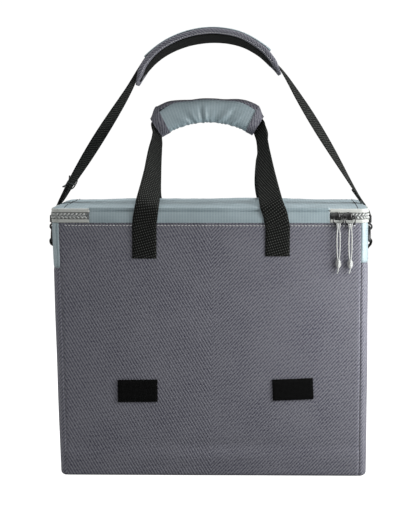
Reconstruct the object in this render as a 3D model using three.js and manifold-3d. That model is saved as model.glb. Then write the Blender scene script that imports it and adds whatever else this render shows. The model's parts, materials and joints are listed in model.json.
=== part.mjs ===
// Insulated cooler bag. Millimetres, +Z up, origin on the floor under the centre of the base.
// The hinge side, with the hook patches and the zip ends, faces -Y.
import * as THREE from "three";
import { mergeVertices } from "three/addons/utils/BufferGeometryUtils.js";
import Module from "manifold-3d";

const wasm = await Module();
wasm.setup();

// Bag
const WIDTH = 385; // across the side gussets, at the zip
const BASE_WIDTH = 371; // across the side gussets, at the floor
const DEPTH = 250;
const CORNER_X = 8.5; // how far a side gusset bulges past the face seam
const CORNER_Y = 22;
const FACE = 183.7; // from the middle to the seam of a face panel
const SEAM_Z = 312; // top of the face panels
const COLOUR_Z = 256; // where a side gusset changes colour
const ZIP_Z = 320; // where the lid parts from the bag
const LID_Z = 328.7; // edge of the lid panel
const CROWN = 1.6; // rise of the lid in its middle
const FABRIC = 1;
const FOAM = 9;
const LINER = 0.8;
const BASE = 1.6;
const GAP = 0.3;
// Zip
const TAPE = 3.7;
const CHAIN = 3.7; // height of each half of the chain
const CHAIN_OUT = 0.8; // how far the chain stands proud of the tape
const ZIP_LEFT = -149; // zip ends on the hinge side
const ZIP_RIGHT = 145;
const SLIDERS_X = [152.5, 167];
const SLIDER_LENGTH = 13;
const SLIDER_HEIGHT = 9.4;
const SLIDER_THICK = 1.8;
const BAIL_X = 3.3; // the bail stands nearer the slider's wide end
const BAIL = 3.2; // width of the bail
const RING_R = 6.2;
const RING_WIRE = 0.9;
const CORD_R = 1.1;
const CORD_DROP = 44; // from the ring to the knot
// Webbing handles and their grip wrap
const WEB = 30;
const WEB_THICK = 2;
const HANDLE_X = 81.5;
const FAR_SHIFT = -5; // the far handle is sewn on a little to the left
const SEWN = 44; // length sewn to the face
const LEG_FREE = 334; // a handle's leg leans away from the bag above this height
const LEG_TOP = 413; // and meets the wrap about here
const TURN_FROM = 318; // over this run of height a leg's webbing turns edge on
const TURN_TO = 418;
const EDGE_ON = 58; // how far it turns, in degrees
const LEG_NARROW = 0.34; // share of its width that a folded leg loses
const SHIFT_FROM = 320; // the far handle comes back into line over this run of height
const SHIFT_TO = 410;
const RIGHT_LEG_IN = 1; // the right leg stands a little nearer the middle
const RIGHT_LEG_LEAN = 3; // going up, the right leg drifts to the left by this much
const LEFT_LEG_LEAN = 2; // and the left leg by this much
const WRAP_FROM = 416; // inside the wrap the webbing lies square to the arch
const WRAP_TO = 430;
const GRIP_X = -6;
const GRIP_TOP = 448;
const GRIP_ARC = 120;
const ARCH_OUT = 5.2; // a handle's webbing lies this far from the wrap's middle plane
const ARCH_AT = [-32, -24, -12, 0, 12, 24, 31]; // and passes through the arch at these degrees
const WRAP_MOUTH = { left: -73.4, right: 60.6, out: 9, z: 424.6 }; // where the webbing enters the wrap
const GRIP_LEFT = -34.3; // ends of the wrap, in degrees along the arch
const GRIP_RIGHT = 32.3;
const GRIP_WIDE = 15.5; // half width of the wrap's section
const GRIP_LOW = 15.7;
const GRIP_SQUARE = 0.75; // 1 is a round section, less is squarer
const GRIP_HIGH = 16; // in the middle; the wrap is fuller towards its ends
const WRAP_WALL = 2;
// Shoulder strap
const RING_X = { left: -204.5, right: 198 }; // plane of each D-ring
const RING_Z = 288; // foot of each D-ring's arc
const D_HALF = 17;
const D_RISE = 13;
const D_BAR = 4; // straight bar below the arc
const D_WIRE = 1.8;
const HOOK_THICK = 6;
const EYE_FOOT = 6; // the hook's eye, above the top of the D-ring's arc
const EYE_HIGH = 8.6;
const EYE_RIM = 2.3;
const STRAP_THICK = 2;
const PAD_WIDE = 60;
const PAD_THICK = 9;
const LINING = 1.6;
const PAD_ROLL = 0.17; // the pad's far edge hangs lower

const radians = (degrees) => (degrees * Math.PI) / 180;
const sides = [[-1, "left"], [1, "right"]];

const at = (x, y, z) => new THREE.Vector3(x, y, z);

// A closed three.js geometry as a manifold-3d solid.
function solid(geometry) {
  const flat = geometry.index ? geometry.toNonIndexed() : geometry;
  const bare = new THREE.BufferGeometry();
  bare.setAttribute("position", flat.getAttribute("position"));
  const merged = mergeVertices(bare, 1e-3);
  return new wasm.Manifold(
    new wasm.Mesh({
      numProp: 3,
      vertProperties: merged.attributes.position.array,
      triVerts: new Uint32Array(merged.index.array),
    }),
  );
}

// A manifold-3d solid as a three.js geometry.
function geometryOf(made) {
  const mesh = made.getMesh();
  const points = new Float32Array(mesh.numVert * 3);
  for (let i = 0; i < mesh.numVert; i++) {
    const from = i * mesh.numProp;
    points.set(mesh.vertProperties.subarray(from, from + 3), i * 3);
  }
  const geometry = new THREE.BufferGeometry();
  geometry.setAttribute("position", new THREE.BufferAttribute(points, 3));
  geometry.setIndex(new THREE.BufferAttribute(mesh.triVerts, 1));
  return geometry;
}

function box(x0, x1, y0, y1, z0, z1) {
  const made = new THREE.BoxGeometry(x1 - x0, y1 - y0, z1 - z0);
  return made.translate((x0 + x1) / 2, (y0 + y1) / 2, (z0 + z1) / 2);
}

// A rectangle with elliptical corners, w and d being half sizes.
function rounded(w, d, a, b) {
  const s = new THREE.Shape();
  s.moveTo(w, b - d);
  s.lineTo(w, d - b);
  s.absellipse(w - a, d - b, a, b, 0, Math.PI / 2, false);
  s.absellipse(a - w, d - b, a, b, Math.PI / 2, Math.PI, false);
  s.absellipse(a - w, b - d, a, b, Math.PI, 1.5 * Math.PI, false);
  s.absellipse(w - a, b - d, a, b, 1.5 * Math.PI, 2 * Math.PI, false);
  return s;
}

// The plan of the bag, moved inwards by inset.
function plan(inset) {
  const a = CORNER_X - inset;
  return rounded(WIDTH / 2 - inset, DEPTH / 2 - inset, a, CORNER_Y - inset);
}

function prism(shape, z0, z1) {
  const options = { depth: z1 - z0, bevelEnabled: false, curveSegments: 6 };
  return new THREE.ExtrudeGeometry(shape, options).translate(0, 0, z0);
}

// The wall between two insets of the plan.
function band(z0, z1, outer, inner) {
  const inside = solid(prism(plan(inner), z0 - 1, z1 + 1));
  return solid(prism(plan(outer), z0, z1)).subtract(inside);
}

// The bag narrows in X towards the floor.
function narrowed(geometry) {
  const p = geometry.getAttribute("position");
  const loss = 1 - BASE_WIDTH / WIDTH;
  for (let i = 0; i < p.count; i++) {
    const below = Math.max(0, 1 - p.getZ(i) / ZIP_Z);
    p.setX(i, p.getX(i) * (1 - loss * below));
  }
  return geometry;
}

// Carries a shape, drawn across and out, along frames from 0 to 1.
function swept(shape, steps, frame) {
  const options = { depth: 1, steps, bevelEnabled: false, curveSegments: 8 };
  const made = new THREE.ExtrudeGeometry(shape, options);
  const p = made.getAttribute("position");
  for (let i = 0; i < p.count; i++) {
    const f = frame(p.getZ(i));
    const v = f.centre.clone().addScaledVector(f.across, p.getX(i) * (f.wide ?? 1));
    v.addScaledVector(f.out, p.getY(i) * (p.getY(i) > 0 ? (f.high ?? 1) : 1));
    p.setXYZ(i, v.x, v.y, v.z);
  }
  return made;
}

// A frame on a curve whose width points as nearly as it can along wish.
function frameOn(curve, u, wish) {
  const along = curve.getTangentAt(u);
  const across = wish.clone().addScaledVector(along, -wish.dot(along)).normalize();
  return { centre: curve.getPointAt(u), across, out: along.cross(across) };
}

const smooth = (points) => new THREE.CatmullRomCurve3(points, false, "centripetal");

const strip = (wide, thick) => {
  const s = new THREE.Shape();
  s.moveTo(-wide / 2, -thick / 2);
  s.lineTo(wide / 2, -thick / 2);
  s.lineTo(wide / 2, thick / 2);
  s.lineTo(-wide / 2, thick / 2);
  return s;
};

function tube(curve, radius, steps, sides) {
  const round = new THREE.Shape().absarc(0, 0, radius, 0, 2 * Math.PI, false);
  const options = { steps, extrudePath: curve, curveSegments: sides / 2 };
  return new THREE.ExtrudeGeometry(round, { ...options, bevelEnabled: false });
}

// Bag

function facePanel(side) {
  const wall = band(BASE + GAP, SEAM_Z, 0, FABRIC);
  const ys = side < 0 ? [-200, -60] : [60, 200];
  return narrowed(geometryOf(wall.intersect(solid(box(-FACE, FACE, ...ys, 0, 400)))));
}

function gusset(side, z0, z1) {
  const near = FACE + GAP;
  const xs = side < 0 ? [-300, -near] : [near, 300];
  const cut = solid(box(...xs, -200, 200, 0, 400));
  return narrowed(geometryOf(band(z0, z1, 0, FABRIC).intersect(cut)));
}

const bottomPanel = () => narrowed(prism(plan(0), 0, BASE));

const FOAM_Z0 = BASE + GAP;
const FOAM_FLOOR = FOAM_Z0 + FOAM;
const WALL_Y = DEPTH / 2 - FABRIC - GAP;
const WALL_X = WIDTH / 2 - FABRIC - GAP;

// A board behind a face, as wide as the bag, with the bag's rounded corners.
function foamFace(side) {
  const ys = side < 0 ? [-200, FOAM - WALL_Y] : [WALL_Y - FOAM, 200];
  return foamBoard(box(-300, 300, ...ys, 0, 400));
}

function foamSide(side) {
  const y = WALL_Y - FOAM - GAP;
  const xs = side < 0 ? [-300, FOAM - WALL_X] : [WALL_X - FOAM, 300];
  return foamBoard(box(...xs, -y, y, 0, 400));
}

function foamBoard(cut) {
  const full = solid(prism(plan(FABRIC + GAP), FOAM_Z0, SEAM_Z));
  return narrowed(geometryOf(full.intersect(solid(cut))));
}

function foamBottom() {
  const x = WALL_X - FOAM - GAP;
  const y = WALL_Y - FOAM - GAP;
  return narrowed(box(-x, x, -y, y, FOAM_Z0, FOAM_FLOOR));
}

// The tub inside the foam, with a flange over the top of the walls.
function liner() {
  const x = WALL_X - FOAM - GAP;
  const y = WALL_Y - FOAM - GAP;
  const z0 = FOAM_FLOOR + GAP;
  const top = SEAM_Z + GAP + LINER;
  const tub = solid(prism(rounded(x, y, 12, 12), z0, top));
  const flange = solid(prism(plan(FABRIC + GAP), SEAM_Z + GAP, top));
  const room = rounded(x - LINER, y - LINER, 11.2, 11.2);
  const cavity = solid(prism(room, z0 + LINER, top + 1));
  return narrowed(geometryOf(tub.add(flange).subtract(cavity)));
}

const TAPE_Z = SEAM_Z + GAP;
const CHAIN_Z = TAPE_Z + TAPE + GAP;
const LID_CHAIN_Z = ZIP_Z + GAP;
const LID_TAPE_Z = LID_CHAIN_Z + CHAIN + GAP;

function aroundZip(z0, z1, out) {
  const open = solid(box(ZIP_LEFT, ZIP_RIGHT, -200, -60, 0, 400));
  return geometryOf(band(z0, z1, -out, FABRIC).subtract(open));
}

function hingeBand() {
  const cut = solid(box(ZIP_LEFT + GAP, ZIP_RIGHT - GAP, -200, -60, 0, 400));
  return geometryOf(band(TAPE_Z, LID_Z, 0, FABRIC).intersect(cut));
}

function hookPatch(x, z, wide, high, tilt) {
  const made = new THREE.BoxGeometry(wide, 1.6, high).rotateY((-tilt * Math.PI) / 180);
  return made.translate(x, -DEPTH / 2 - GAP - 0.8, z);
}

// Lid

// A plate whose top rises to the crown, and its underside too unless it is flat.
function domed(inset, z0, z1, flat) {
  const w = WIDTH / 2 - inset;
  const d = DEPTH / 2 - inset;
  const plate = new THREE.BoxGeometry(2 * w, 2 * d, z1 - z0, 20, 14, 1);
  plate.translate(0, 0, (z0 + z1) / 2);
  const p = plate.getAttribute("position");
  for (let i = 0; i < p.count; i++) {
    if (flat && p.getZ(i) < (z0 + z1) / 2) continue;
    const rise = (1 - (p.getX(i) / w) ** 2) * (1 - (p.getY(i) / d) ** 2);
    p.setZ(i, p.getZ(i) + CROWN * rise);
  }
  return geometryOf(solid(plate).intersect(solid(prism(plan(inset), 300, 400))));
}

const lidPanel = () => domed(0, LID_Z, LID_Z + FABRIC, false);
const lidFoam = () => domed(FABRIC + GAP, LID_CHAIN_Z + LINER + GAP, LID_Z - GAP, true);

function lidLiner() {
  return prism(plan(FABRIC + GAP), LID_CHAIN_Z, LID_CHAIN_Z + LINER);
}

// Zip sliders and pulls

const TEETH_Y = -DEPTH / 2 - CHAIN_OUT;
const BACK_Y = TEETH_Y - 0.5; // underside of a slider's plate
const RING_PLAY = 0.4;
const PULL_Y = BACK_Y - SLIDER_THICK - RING_PLAY - RING_WIRE;
const PULL_Z = ZIP_Z + 1.5; // the ring's highest wire, in the bail

// A plate that widens towards the bail, and a square bail round the ring's wire.
function slider(x) {
  const plate = new THREE.Shape();
  const h = SLIDER_HEIGHT / 2;
  const l = SLIDER_LENGTH / 2;
  plate.moveTo(-l, -h * 0.6);
  plate.lineTo(0, -h * 0.75);
  plate.lineTo(l, -h);
  plate.lineTo(l, h);
  plate.lineTo(0, h * 0.75);
  plate.lineTo(-l, h * 0.6);
  const base = solid(prism(plate, 0, SLIDER_THICK).rotateX(Math.PI / 2).translate(x, BACK_Y, ZIP_Z));
  const xs = [x + BAIL_X - BAIL / 2, x + BAIL_X + BAIL / 2];
  const face = PULL_Y - RING_WIRE - RING_PLAY;
  const foot = BACK_Y - SLIDER_THICK + 0.4;
  const low = [PULL_Z - 3.4, PULL_Z - 1.4];
  const high = [PULL_Z + 1.4, PULL_Z + 2.4];
  const parts = [
    box(...xs, face - 1, foot, ...low),
    box(...xs, face - 1, foot, ...high),
    box(...xs, face - 1, face, low[0], high[1]),
  ];
  return geometryOf(parts.reduce((made, part) => made.add(solid(part)), base));
}

function pullRing(x) {
  const ring = new THREE.TorusGeometry(RING_R, RING_WIRE, 8, 28).rotateX(Math.PI / 2);
  return ring.translate(x, PULL_Y, PULL_Z - RING_R);
}

const LOOP_Z = PULL_Z - 2 * RING_R; // the ring's lowest wire

// Doubled cord, over the ring's wire and down to the knot.
function pullCord(x) {
  const side = RING_WIRE + CORD_R + 0.3;
  const low = LOOP_Z - CORD_DROP;
  const path = smooth([
    at(x - 1.2, PULL_Y - 1.4, low),
    at(x - 1.2, PULL_Y - 1.4, low + 12),
    at(x - 0.4, PULL_Y - side, LOOP_Z - 6),
    at(x, PULL_Y - side, LOOP_Z),
    at(x, PULL_Y, LOOP_Z + side),
    at(x, PULL_Y + side, LOOP_Z),
    at(x + 0.4, PULL_Y + side, LOOP_Z - 6),
    at(x + 1.2, PULL_Y + 1.4, low + 12),
    at(x + 1.2, PULL_Y + 1.4, low),
  ]);
  return tube(path, CORD_R, 44, 8);
}

function pullKnot(x) {
  const high = 5.6; // half the knot's height
  const z = LOOP_Z - CORD_DROP - GAP - high;
  const ball = new THREE.SphereGeometry(1, 12, 8).scale(4.2, 4.2, high);
  const tail = new THREE.CylinderGeometry(CORD_R, CORD_R, 9, 8).rotateX(Math.PI / 2);
  const joined = solid(ball.translate(x, PULL_Y, z));
  return geometryOf(joined.add(solid(tail.translate(x, PULL_Y, z - 8))));
}

// Handles

// How far value has got from one end of a range to the other, from 0 to 1.
const share = (value, from, to) => Math.min(1, Math.max(0, (value - from) / (to - from)));

const step = (low, high, x) => {
  const t = share(x, low, high);
  return t * t * (3 - 2 * t);
};

// The far handle's feet are shifted, and the shift fades out towards the wrap.
const footShift = (side) => (side > 0 ? FAR_SHIFT : 0);

function handleCurve(side) {
  const legs = [
    [81, 126.3, 313.4],
    [80.8, 126.8, 316],
    [80, 128.9, 321],
    [78, 127.6, 334],
    [74, 98, 357],
    [70.5, 52, 390],
    [68.5, 22, 413],
  ];
  const leg = (end) =>
    legs.map(([x, out, z]) => {
      const shift = footShift(side) * (1 - step(SHIFT_FROM, SHIFT_TO, z));
      const climb = share(z, LEG_FREE, LEG_TOP);
      const inwards = end > 0 ? -RIGHT_LEG_IN - RIGHT_LEG_LEAN * climb : LEFT_LEG_LEAN * climb;
      return at(end * (x + inwards) + shift, side * out, z);
    });
  const arch = ARCH_AT.map((deg) => {
    const a = radians(deg);
    const high = GRIP_TOP - GRIP_ARC * (1 - Math.cos(a));
    return at(GRIP_X + GRIP_ARC * Math.sin(a), side * ARCH_OUT, high);
  });
  const mouth = (x) => at(x, side * WRAP_MOUTH.out, WRAP_MOUTH.z);
  return smooth([
    ...leg(-1),
    mouth(WRAP_MOUTH.left),
    ...arch,
    mouth(WRAP_MOUTH.right),
    ...leg(1).reverse(),
  ]);
}

// Flat on the face at both ends, turning on the way up, and on edge along the arch.
function handle(side) {
  const curve = handleCurve(side);
  return swept(strip(WEB, WEB_THICK), 64, (u) => {
    const { x, z } = curve.getPointAt(u);
    const climb = share(z, TURN_FROM, TURN_TO);
    const lean = EDGE_ON * (1 - (1 - climb) ** 1.4);
    const slope = Math.abs(Math.atan2(x - GRIP_X, z - GRIP_TOP + GRIP_ARC));
    const inside = share(z, WRAP_FROM, WRAP_TO);
    const turn = radians(lean) + (Math.PI / 2 - slope - radians(lean)) * inside;
    const wish = at((u < 0.5 ? 1 : -1) * Math.cos(turn), 0, -Math.sin(turn));
    return { ...frameOn(curve, u, wish), wide: 1 - LEG_NARROW * climb };
  });
}

function sewnEnd(x, side) {
  const y = side * (DEPTH / 2 + GAP + WEB_THICK / 2);
  const made = new THREE.BoxGeometry(WEB, WEB_THICK, SEWN);
  return made.translate(x + footShift(side), y, SEAM_Z - SEWN / 2);
}

// Half of the padded wrap round both webbings, with rounded shoulders.
function wrapHalf(side) {
  const s = new THREE.Shape();
  const wall = (inset, from, to) => {
    for (let i = 0; i <= 14; i++) {
      const a = from + ((to - from) * i) / 14;
      const soft = (value) => Math.sign(value) * Math.abs(value) ** GRIP_SQUARE;
      const high = (a > 0 ? GRIP_HIGH : GRIP_LOW) - inset;
      const x = Math.max(GAP, soft(Math.cos(a)) * (GRIP_WIDE - inset));
      s.lineTo(side * x, soft(Math.sin(a)) * high);
    }
  };
  s.moveTo(side * GAP, -GRIP_LOW);
  wall(0, -Math.PI / 2, Math.PI / 2);
  wall(WRAP_WALL, Math.PI / 2, -Math.PI / 2);
  return swept(s, 26, (u) => {
    const a = radians(GRIP_LEFT + (GRIP_RIGHT - GRIP_LEFT) * u);
    const up = at(Math.sin(a), 0, Math.cos(a));
    const centre = at(GRIP_X, 0, GRIP_TOP - GRIP_ARC).addScaledVector(up, GRIP_ARC);
    const out = Math.abs(2 * u - 1);
    const high = 1 + 0.34 * step(0.2, 0.72, out) - 0.4 * step(0.8, 1.02, out);
    return { centre, across: at(0, 1, 0), out: up, high };
  });
}

// Shoulder strap

function strapTab(side) {
  const x = side * (WIDTH / 2 + GAP + 1);
  return new THREE.BoxGeometry(2, WEB, 22).translate(x, 0, RING_Z - D_BAR - D_WIRE - 11.5);
}

// A straight bar in the tab's loop and a low arc above it.
function dRing(x) {
  const points = [];
  for (let i = 0; i <= 12; i++) {
    const a = (Math.PI * i) / 12;
    points.push(at(x, D_HALF * Math.cos(a), RING_Z + D_RISE * Math.sin(a)));
  }
  const low = [at(x, D_HALF, RING_Z - D_BAR), at(x, -D_HALF, RING_Z - D_BAR)];
  const arc = solid(tube(smooth([low[0], ...points, low[1]]), D_WIRE, 24, 8));
  const length = 2 * (D_HALF + D_WIRE);
  const bar = new THREE.CylinderGeometry(D_WIRE, D_WIRE, length, 10);
  return geometryOf(arc.add(solid(bar.translate(x, 0, RING_Z - D_BAR))));
}

const RING_TOP = RING_Z + D_RISE;
const EYE_Z = RING_TOP + EYE_FOOT + EYE_HIGH / 2;

// Hooks over the D-ring's arc and ends in an eye for the webbing.
function snapHook(x) {
  const inner = D_WIRE + 0.6;
  const outer = inner + 2.2;
  const s = new THREE.Shape();
  s.absarc(0, 0, outer, Math.PI * 0.5, Math.PI * 1.72, false);
  s.absarc(0, 0, inner, Math.PI * 1.72, Math.PI * 0.5, true);
  const hook = new THREE.ExtrudeGeometry(s, {
    depth: HOOK_THICK,
    bevelEnabled: false,
    curveSegments: 16,
  });
  hook.translate(0, 0, -HOOK_THICK / 2).rotateX(Math.PI / 2);
  const shank = box(-2.2, 2.6, -4, 4, inner + 0.4, EYE_FOOT + 1);
  const top = EYE_FOOT + EYE_HIGH;
  const half = WEB / 2 + 0.8;
  const eye = solid(box(-2.6, 2.6, -half - EYE_RIM, half + EYE_RIM, EYE_FOOT, top));
  const slot = solid(box(-4, 4, -half, half, EYE_FOOT + EYE_RIM, top - EYE_RIM));
  const made = geometryOf(solid(hook).add(solid(shank)).add(eye.subtract(slot)));
  if (x > 0) made.rotateZ(Math.PI);
  return made.translate(x, 0, RING_TOP);
}

function strapCurve(end) {
  const low = at(RING_X[end], 0, EYE_Z + EYE_HIGH / 2 + 0.6);
  if (end === "left") {
    return smooth([low, at(-199.5, 0, 326), at(-190, 0, 340.5), at(-156, 0, 396), at(-98, 0, 477)]);
  }
  return smooth([low, at(196.9, 0, 327), at(190.8, 0, 337.5), at(141, 0, 412), at(86, 0, 490)]);
}

// Each leg hangs almost on edge and turns a little in the middle.
const LEG_TURN = 0.5;
function legFrame(curve, u) {
  const turn = LEG_TURN * Math.sin(Math.PI * Math.min(1, u * 1.1));
  return frameOn(curve, u, at(Math.sin(turn), Math.cos(turn), 0));
}

function strapLeg(end) {
  const curve = strapCurve(end);
  return swept(strip(WEB, STRAP_THICK), 24, (u) => legFrame(curve, u));
}

// The webbing end that passes through the hook's eye and is sewn back.
function strapLoop(x) {
  return new THREE.BoxGeometry(2, WEB, EYE_HIGH - 2 * EYE_RIM - 0.8).translate(x, 0, EYE_Z);
}

function padCurve() {
  return smooth([
    at(-96.5, 0, 480),
    at(-86.5, 0, 503),
    at(-67, 0, 523),
    at(-36, 0, 538.5),
    at(-1, 0, 544),
    at(33, 0, 539),
    at(59.5, 0, 524.5),
    at(75.5, 0, 508),
    at(84.5, 0, 493.5),
  ]);
}

// Rounded in plan at both ends, level with the webbing and rolled a little.
function padPart(thick, offset, inset) {
  const curve = padCurve();
  return swept(strip(PAD_WIDE - 2 * inset, thick), 30, (u) => {
    const frame = frameOn(curve, u, at(0, Math.cos(PAD_ROLL), -Math.sin(PAD_ROLL)));
    const end = Math.min(u, 1 - u) / 0.12;
    frame.wide = end < 1 ? 0.62 + 0.38 * Math.sqrt(end * (2 - end)) : 1;
    frame.centre.addScaledVector(frame.out, offset);
    return frame;
  });
}

// A sliding buckle round the left leg.
function adjuster() {
  const curve = strapCurve("left");
  const rim = strip(WEB + 7, STRAP_THICK + 4.4);
  rim.holes.push(strip(WEB + 1.4, STRAP_THICK + 1.4));
  return swept(rim, 1, (u) => legFrame(curve, 0.13 + 0.07 * u));
}

const COLOURS = {
  twill: ["#5c5c63", 0.9, 0],
  ripstop: ["#8d9da2", 0.55, 0],
  webbing: ["#202322", 0.85, 0],
  zipTape: ["#b0b3ad", 0.9, 0],
  zipChain: ["#a3a6a1", 0.6, 0],
  slider: ["#161717", 0.35, 0.8],
  cord: ["#9fa19e", 0.85, 0],
  plastic: ["#17191a", 0.45, 0],
  foam: ["#dcdcd6", 0.95, 0],
  liner: ["#c6cacb", 0.35, 0],
  hookTape: ["#121312", 0.95, 0],
};

const group = new THREE.Group();
function add(name, colour, geometry) {
  const [color, roughness, metalness] = COLOURS[colour];
  const look = new THREE.MeshStandardMaterial({ color, roughness, metalness });
  const mesh = new THREE.Mesh(geometry, look);
  mesh.name = name;
  group.add(mesh);
}

add("rear_panel", "twill", facePanel(-1));
add("front_panel", "twill", facePanel(1));
add("bottom_panel", "twill", bottomPanel());
add("foam_rear", "foam", foamFace(-1));
add("foam_front", "foam", foamFace(1));
add("foam_bottom", "foam", foamBottom());
add("liner_tub", "liner", liner());
add("zip_tape_lower", "zipTape", aroundZip(TAPE_Z, TAPE_Z + TAPE, 0));
add("zip_chain_lower", "zipChain", aroundZip(CHAIN_Z, ZIP_Z, CHAIN_OUT));
add("hinge_band", "ripstop", hingeBand());
add("hook_patch_left", "hookTape", hookPatch(-90, 105, 49, 27.5, 0.6));
add("hook_patch_right", "hookTape", hookPatch(100.6, 107.5, 50, 26, 2.5));
add("lid_panel", "ripstop", lidPanel());
add("lid_foam", "foam", lidFoam());
add("lid_liner", "liner", lidLiner());
add("zip_chain_upper", "zipChain", aroundZip(LID_CHAIN_Z, LID_CHAIN_Z + CHAIN, CHAIN_OUT));
add("zip_tape_upper", "zipTape", aroundZip(LID_TAPE_Z, LID_Z - GAP, 0));
for (const [side, end] of sides) {
  add("gusset_" + end + "_lower", "twill", gusset(side, BASE + GAP, COLOUR_Z));
  add("gusset_" + end + "_upper", "ripstop", gusset(side, COLOUR_Z + GAP, SEAM_Z));
  add("foam_" + end, "foam", foamSide(side));
  add("strap_tab_" + end, "webbing", strapTab(side));
  add("d_ring_" + end, "plastic", dRing(RING_X[end]));
  add("snap_hook_" + end, "plastic", snapHook(RING_X[end]));
  add("strap_loop_" + end, "webbing", strapLoop(RING_X[end]));
  add("strap_leg_" + end, "webbing", strapLeg(end));
  add("near_sewn_" + end, "webbing", sewnEnd(side * HANDLE_X, -1));
  add("far_sewn_" + end, "webbing", sewnEnd(side * HANDLE_X, 1));
}
add("near_handle", "webbing", handle(-1));
add("far_handle", "webbing", handle(1));
add("grip_wrap", "ripstop", wrapHalf(-1));
add("grip_flap", "twill", wrapHalf(1));
add("shoulder_pad", "twill", padPart(PAD_THICK, 0, 0));
add("pad_lining", "webbing", padPart(LINING, -PAD_THICK / 2 - 0.9 - LINING / 2, 3));
add("strap_adjuster", "plastic", adjuster());
SLIDERS_X.forEach((x, i) => {
  add("slider_" + (i + 1), "slider", slider(x));
  add("pull_ring_" + (i + 1), "slider", pullRing(x + BAIL_X));
  add("pull_cord_" + (i + 1), "cord", pullCord(x + BAIL_X));
  add("pull_knot_" + (i + 1), "cord", pullKnot(x + BAIL_X));
});

export default group;
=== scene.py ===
import json
import math
import bmesh
import bpy
import numpy as np
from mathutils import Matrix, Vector, noise


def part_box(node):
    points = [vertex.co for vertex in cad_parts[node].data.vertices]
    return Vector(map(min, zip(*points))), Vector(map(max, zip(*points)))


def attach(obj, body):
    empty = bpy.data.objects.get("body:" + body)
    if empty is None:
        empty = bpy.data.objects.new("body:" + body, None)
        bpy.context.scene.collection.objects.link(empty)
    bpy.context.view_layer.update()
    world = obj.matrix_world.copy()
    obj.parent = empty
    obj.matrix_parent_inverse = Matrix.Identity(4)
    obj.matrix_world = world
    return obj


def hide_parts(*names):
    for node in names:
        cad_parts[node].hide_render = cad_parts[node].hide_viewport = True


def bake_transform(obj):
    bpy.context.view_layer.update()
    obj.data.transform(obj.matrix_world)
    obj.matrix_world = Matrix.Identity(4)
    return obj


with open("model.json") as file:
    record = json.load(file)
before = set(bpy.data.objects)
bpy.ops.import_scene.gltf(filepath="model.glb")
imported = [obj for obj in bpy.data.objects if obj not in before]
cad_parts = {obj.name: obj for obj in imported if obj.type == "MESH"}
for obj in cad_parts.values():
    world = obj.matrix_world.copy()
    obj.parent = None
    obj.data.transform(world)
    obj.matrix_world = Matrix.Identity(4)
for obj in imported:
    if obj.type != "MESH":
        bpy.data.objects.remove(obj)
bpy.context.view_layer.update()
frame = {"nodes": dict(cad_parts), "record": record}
MM = 0.001

# The bag's plan and levels, from the CAD model
LID_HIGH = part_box("lid_panel")[1]
HALF_W, HALF_D = LID_HIGH.x, LID_HIGH.y
CORNER_X, CORNER_Y = 8.5 * MM, 22 * MM
BASE_HALF_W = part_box("bottom_panel")[1].x
SEAM_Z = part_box("rear_panel")[1].z
COLOUR_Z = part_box("gusset_left_lower")[1].z
ZIP_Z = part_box("zip_chain_lower")[1].z
LID_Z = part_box("lid_panel")[0].z
CROWN = LID_HIGH.z - LID_Z - 1 * MM
FACE = HALF_W - CORNER_X
ZIP_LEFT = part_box("hinge_band")[0].x
ZIP_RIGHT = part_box("hinge_band")[1].x

# Cloth and the bag's soft shape
FABRIC = 1.0 * MM
SKIN_OUT = 0.4 * MM  # how far the soft skins stand off the CAD walls
FOOT = 3.4 * MM  # radius of the soft edge round the bottom
LEFT_SPREAD = 3.4 * MM  # the filled bag stands out by this much at its top left
RIGHT_SPREAD = 5.2 * MM  # and by this much at its bottom right
RIGHT_CHANGE_UP = 7 * MM  # the right gusset changes colour higher than the left one
TOP_STITCH_DOWN = 3.6 * MM  # from the top of a face to its row of stitches
LID_SEAM_IN = 13 * MM  # from the lid's side to its seam
LID_SKIN_UP = 1.3 * MM  # the lid's skin over the CAD panel's edge, for its crown and wrinkles

# Pulls
WIRE_R = 0.9 * MM
CORD_R = 0.85 * MM
CORD_DROP = 41 * MM  # from the ring to the knot

# Handles and the wrap round them. Heights and distances in lists are in mm.
WEB = 30 * MM
HANDLE_THICK = 2.2 * MM
LEG = [(81.5, 126.6, 268), (81.5, 126.6, 290), (81.5, 126.9, 308), (80.8, 128.0, 316), (80, 128.9, 321),
       (78, 127.6, 334), (74, 98, 357), (70.5, 52, 390), (68.5, 22, 413)]
LEG_SEWN = 313  # below this a leg is sewn to the face
LEG_FREE = 334  # above this it leans away from the bag
LEG_TOP = 413  # and here it meets the wrap
RIGHT_LEG_IN = 1
RIGHT_FOOT_UP = 3  # the right foot's lower end is sewn on higher
RIGHT_LEG_LEAN = 3  # going up, the right leg drifts to the left by this much
LEFT_LEG_LEAN = 2  # and the left leg by this much
FAR_SHIFT = -5 * MM  # the far handle is sewn on a little to the left
FAR_LEAN = -5.2 * MM  # and its legs bow to the left between their ends
NEAR_RIGHT_LEAN = -3 * MM
TURN_FROM = 318  # over this run of height a leg's webbing turns edge on
TURN_TO = 418
EDGE_ON = 62  # degrees
GRIP_X = -6 * MM
GRIP_TOP = 448 * MM
GRIP_ARC = 120 * MM
GRIP_LEFT, GRIP_RIGHT = -34.3, 32.3  # ends of the wrap, in degrees along the arch
ARCH_AT = [-32, -24, -12, 0, 12, 24, 31]  # the webbing inside follows the arch through these degrees
ARCH_OUT = 5.2 * MM
MOUTH_LEFT, MOUTH_RIGHT = -71.6 * MM, 58.6 * MM  # where the webbing enters the wrap
MOUTH_OUT, MOUTH_Z = 9 * MM, 424.6 * MM
GRIP_WIDE, GRIP_LOW, GRIP_HIGH = 14.6 * MM, 14.2 * MM, 15.2 * MM  # half sizes of the wrap's section
GRIP_SQUARE = 0.75  # 1 is a round section, less is squarer

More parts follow.
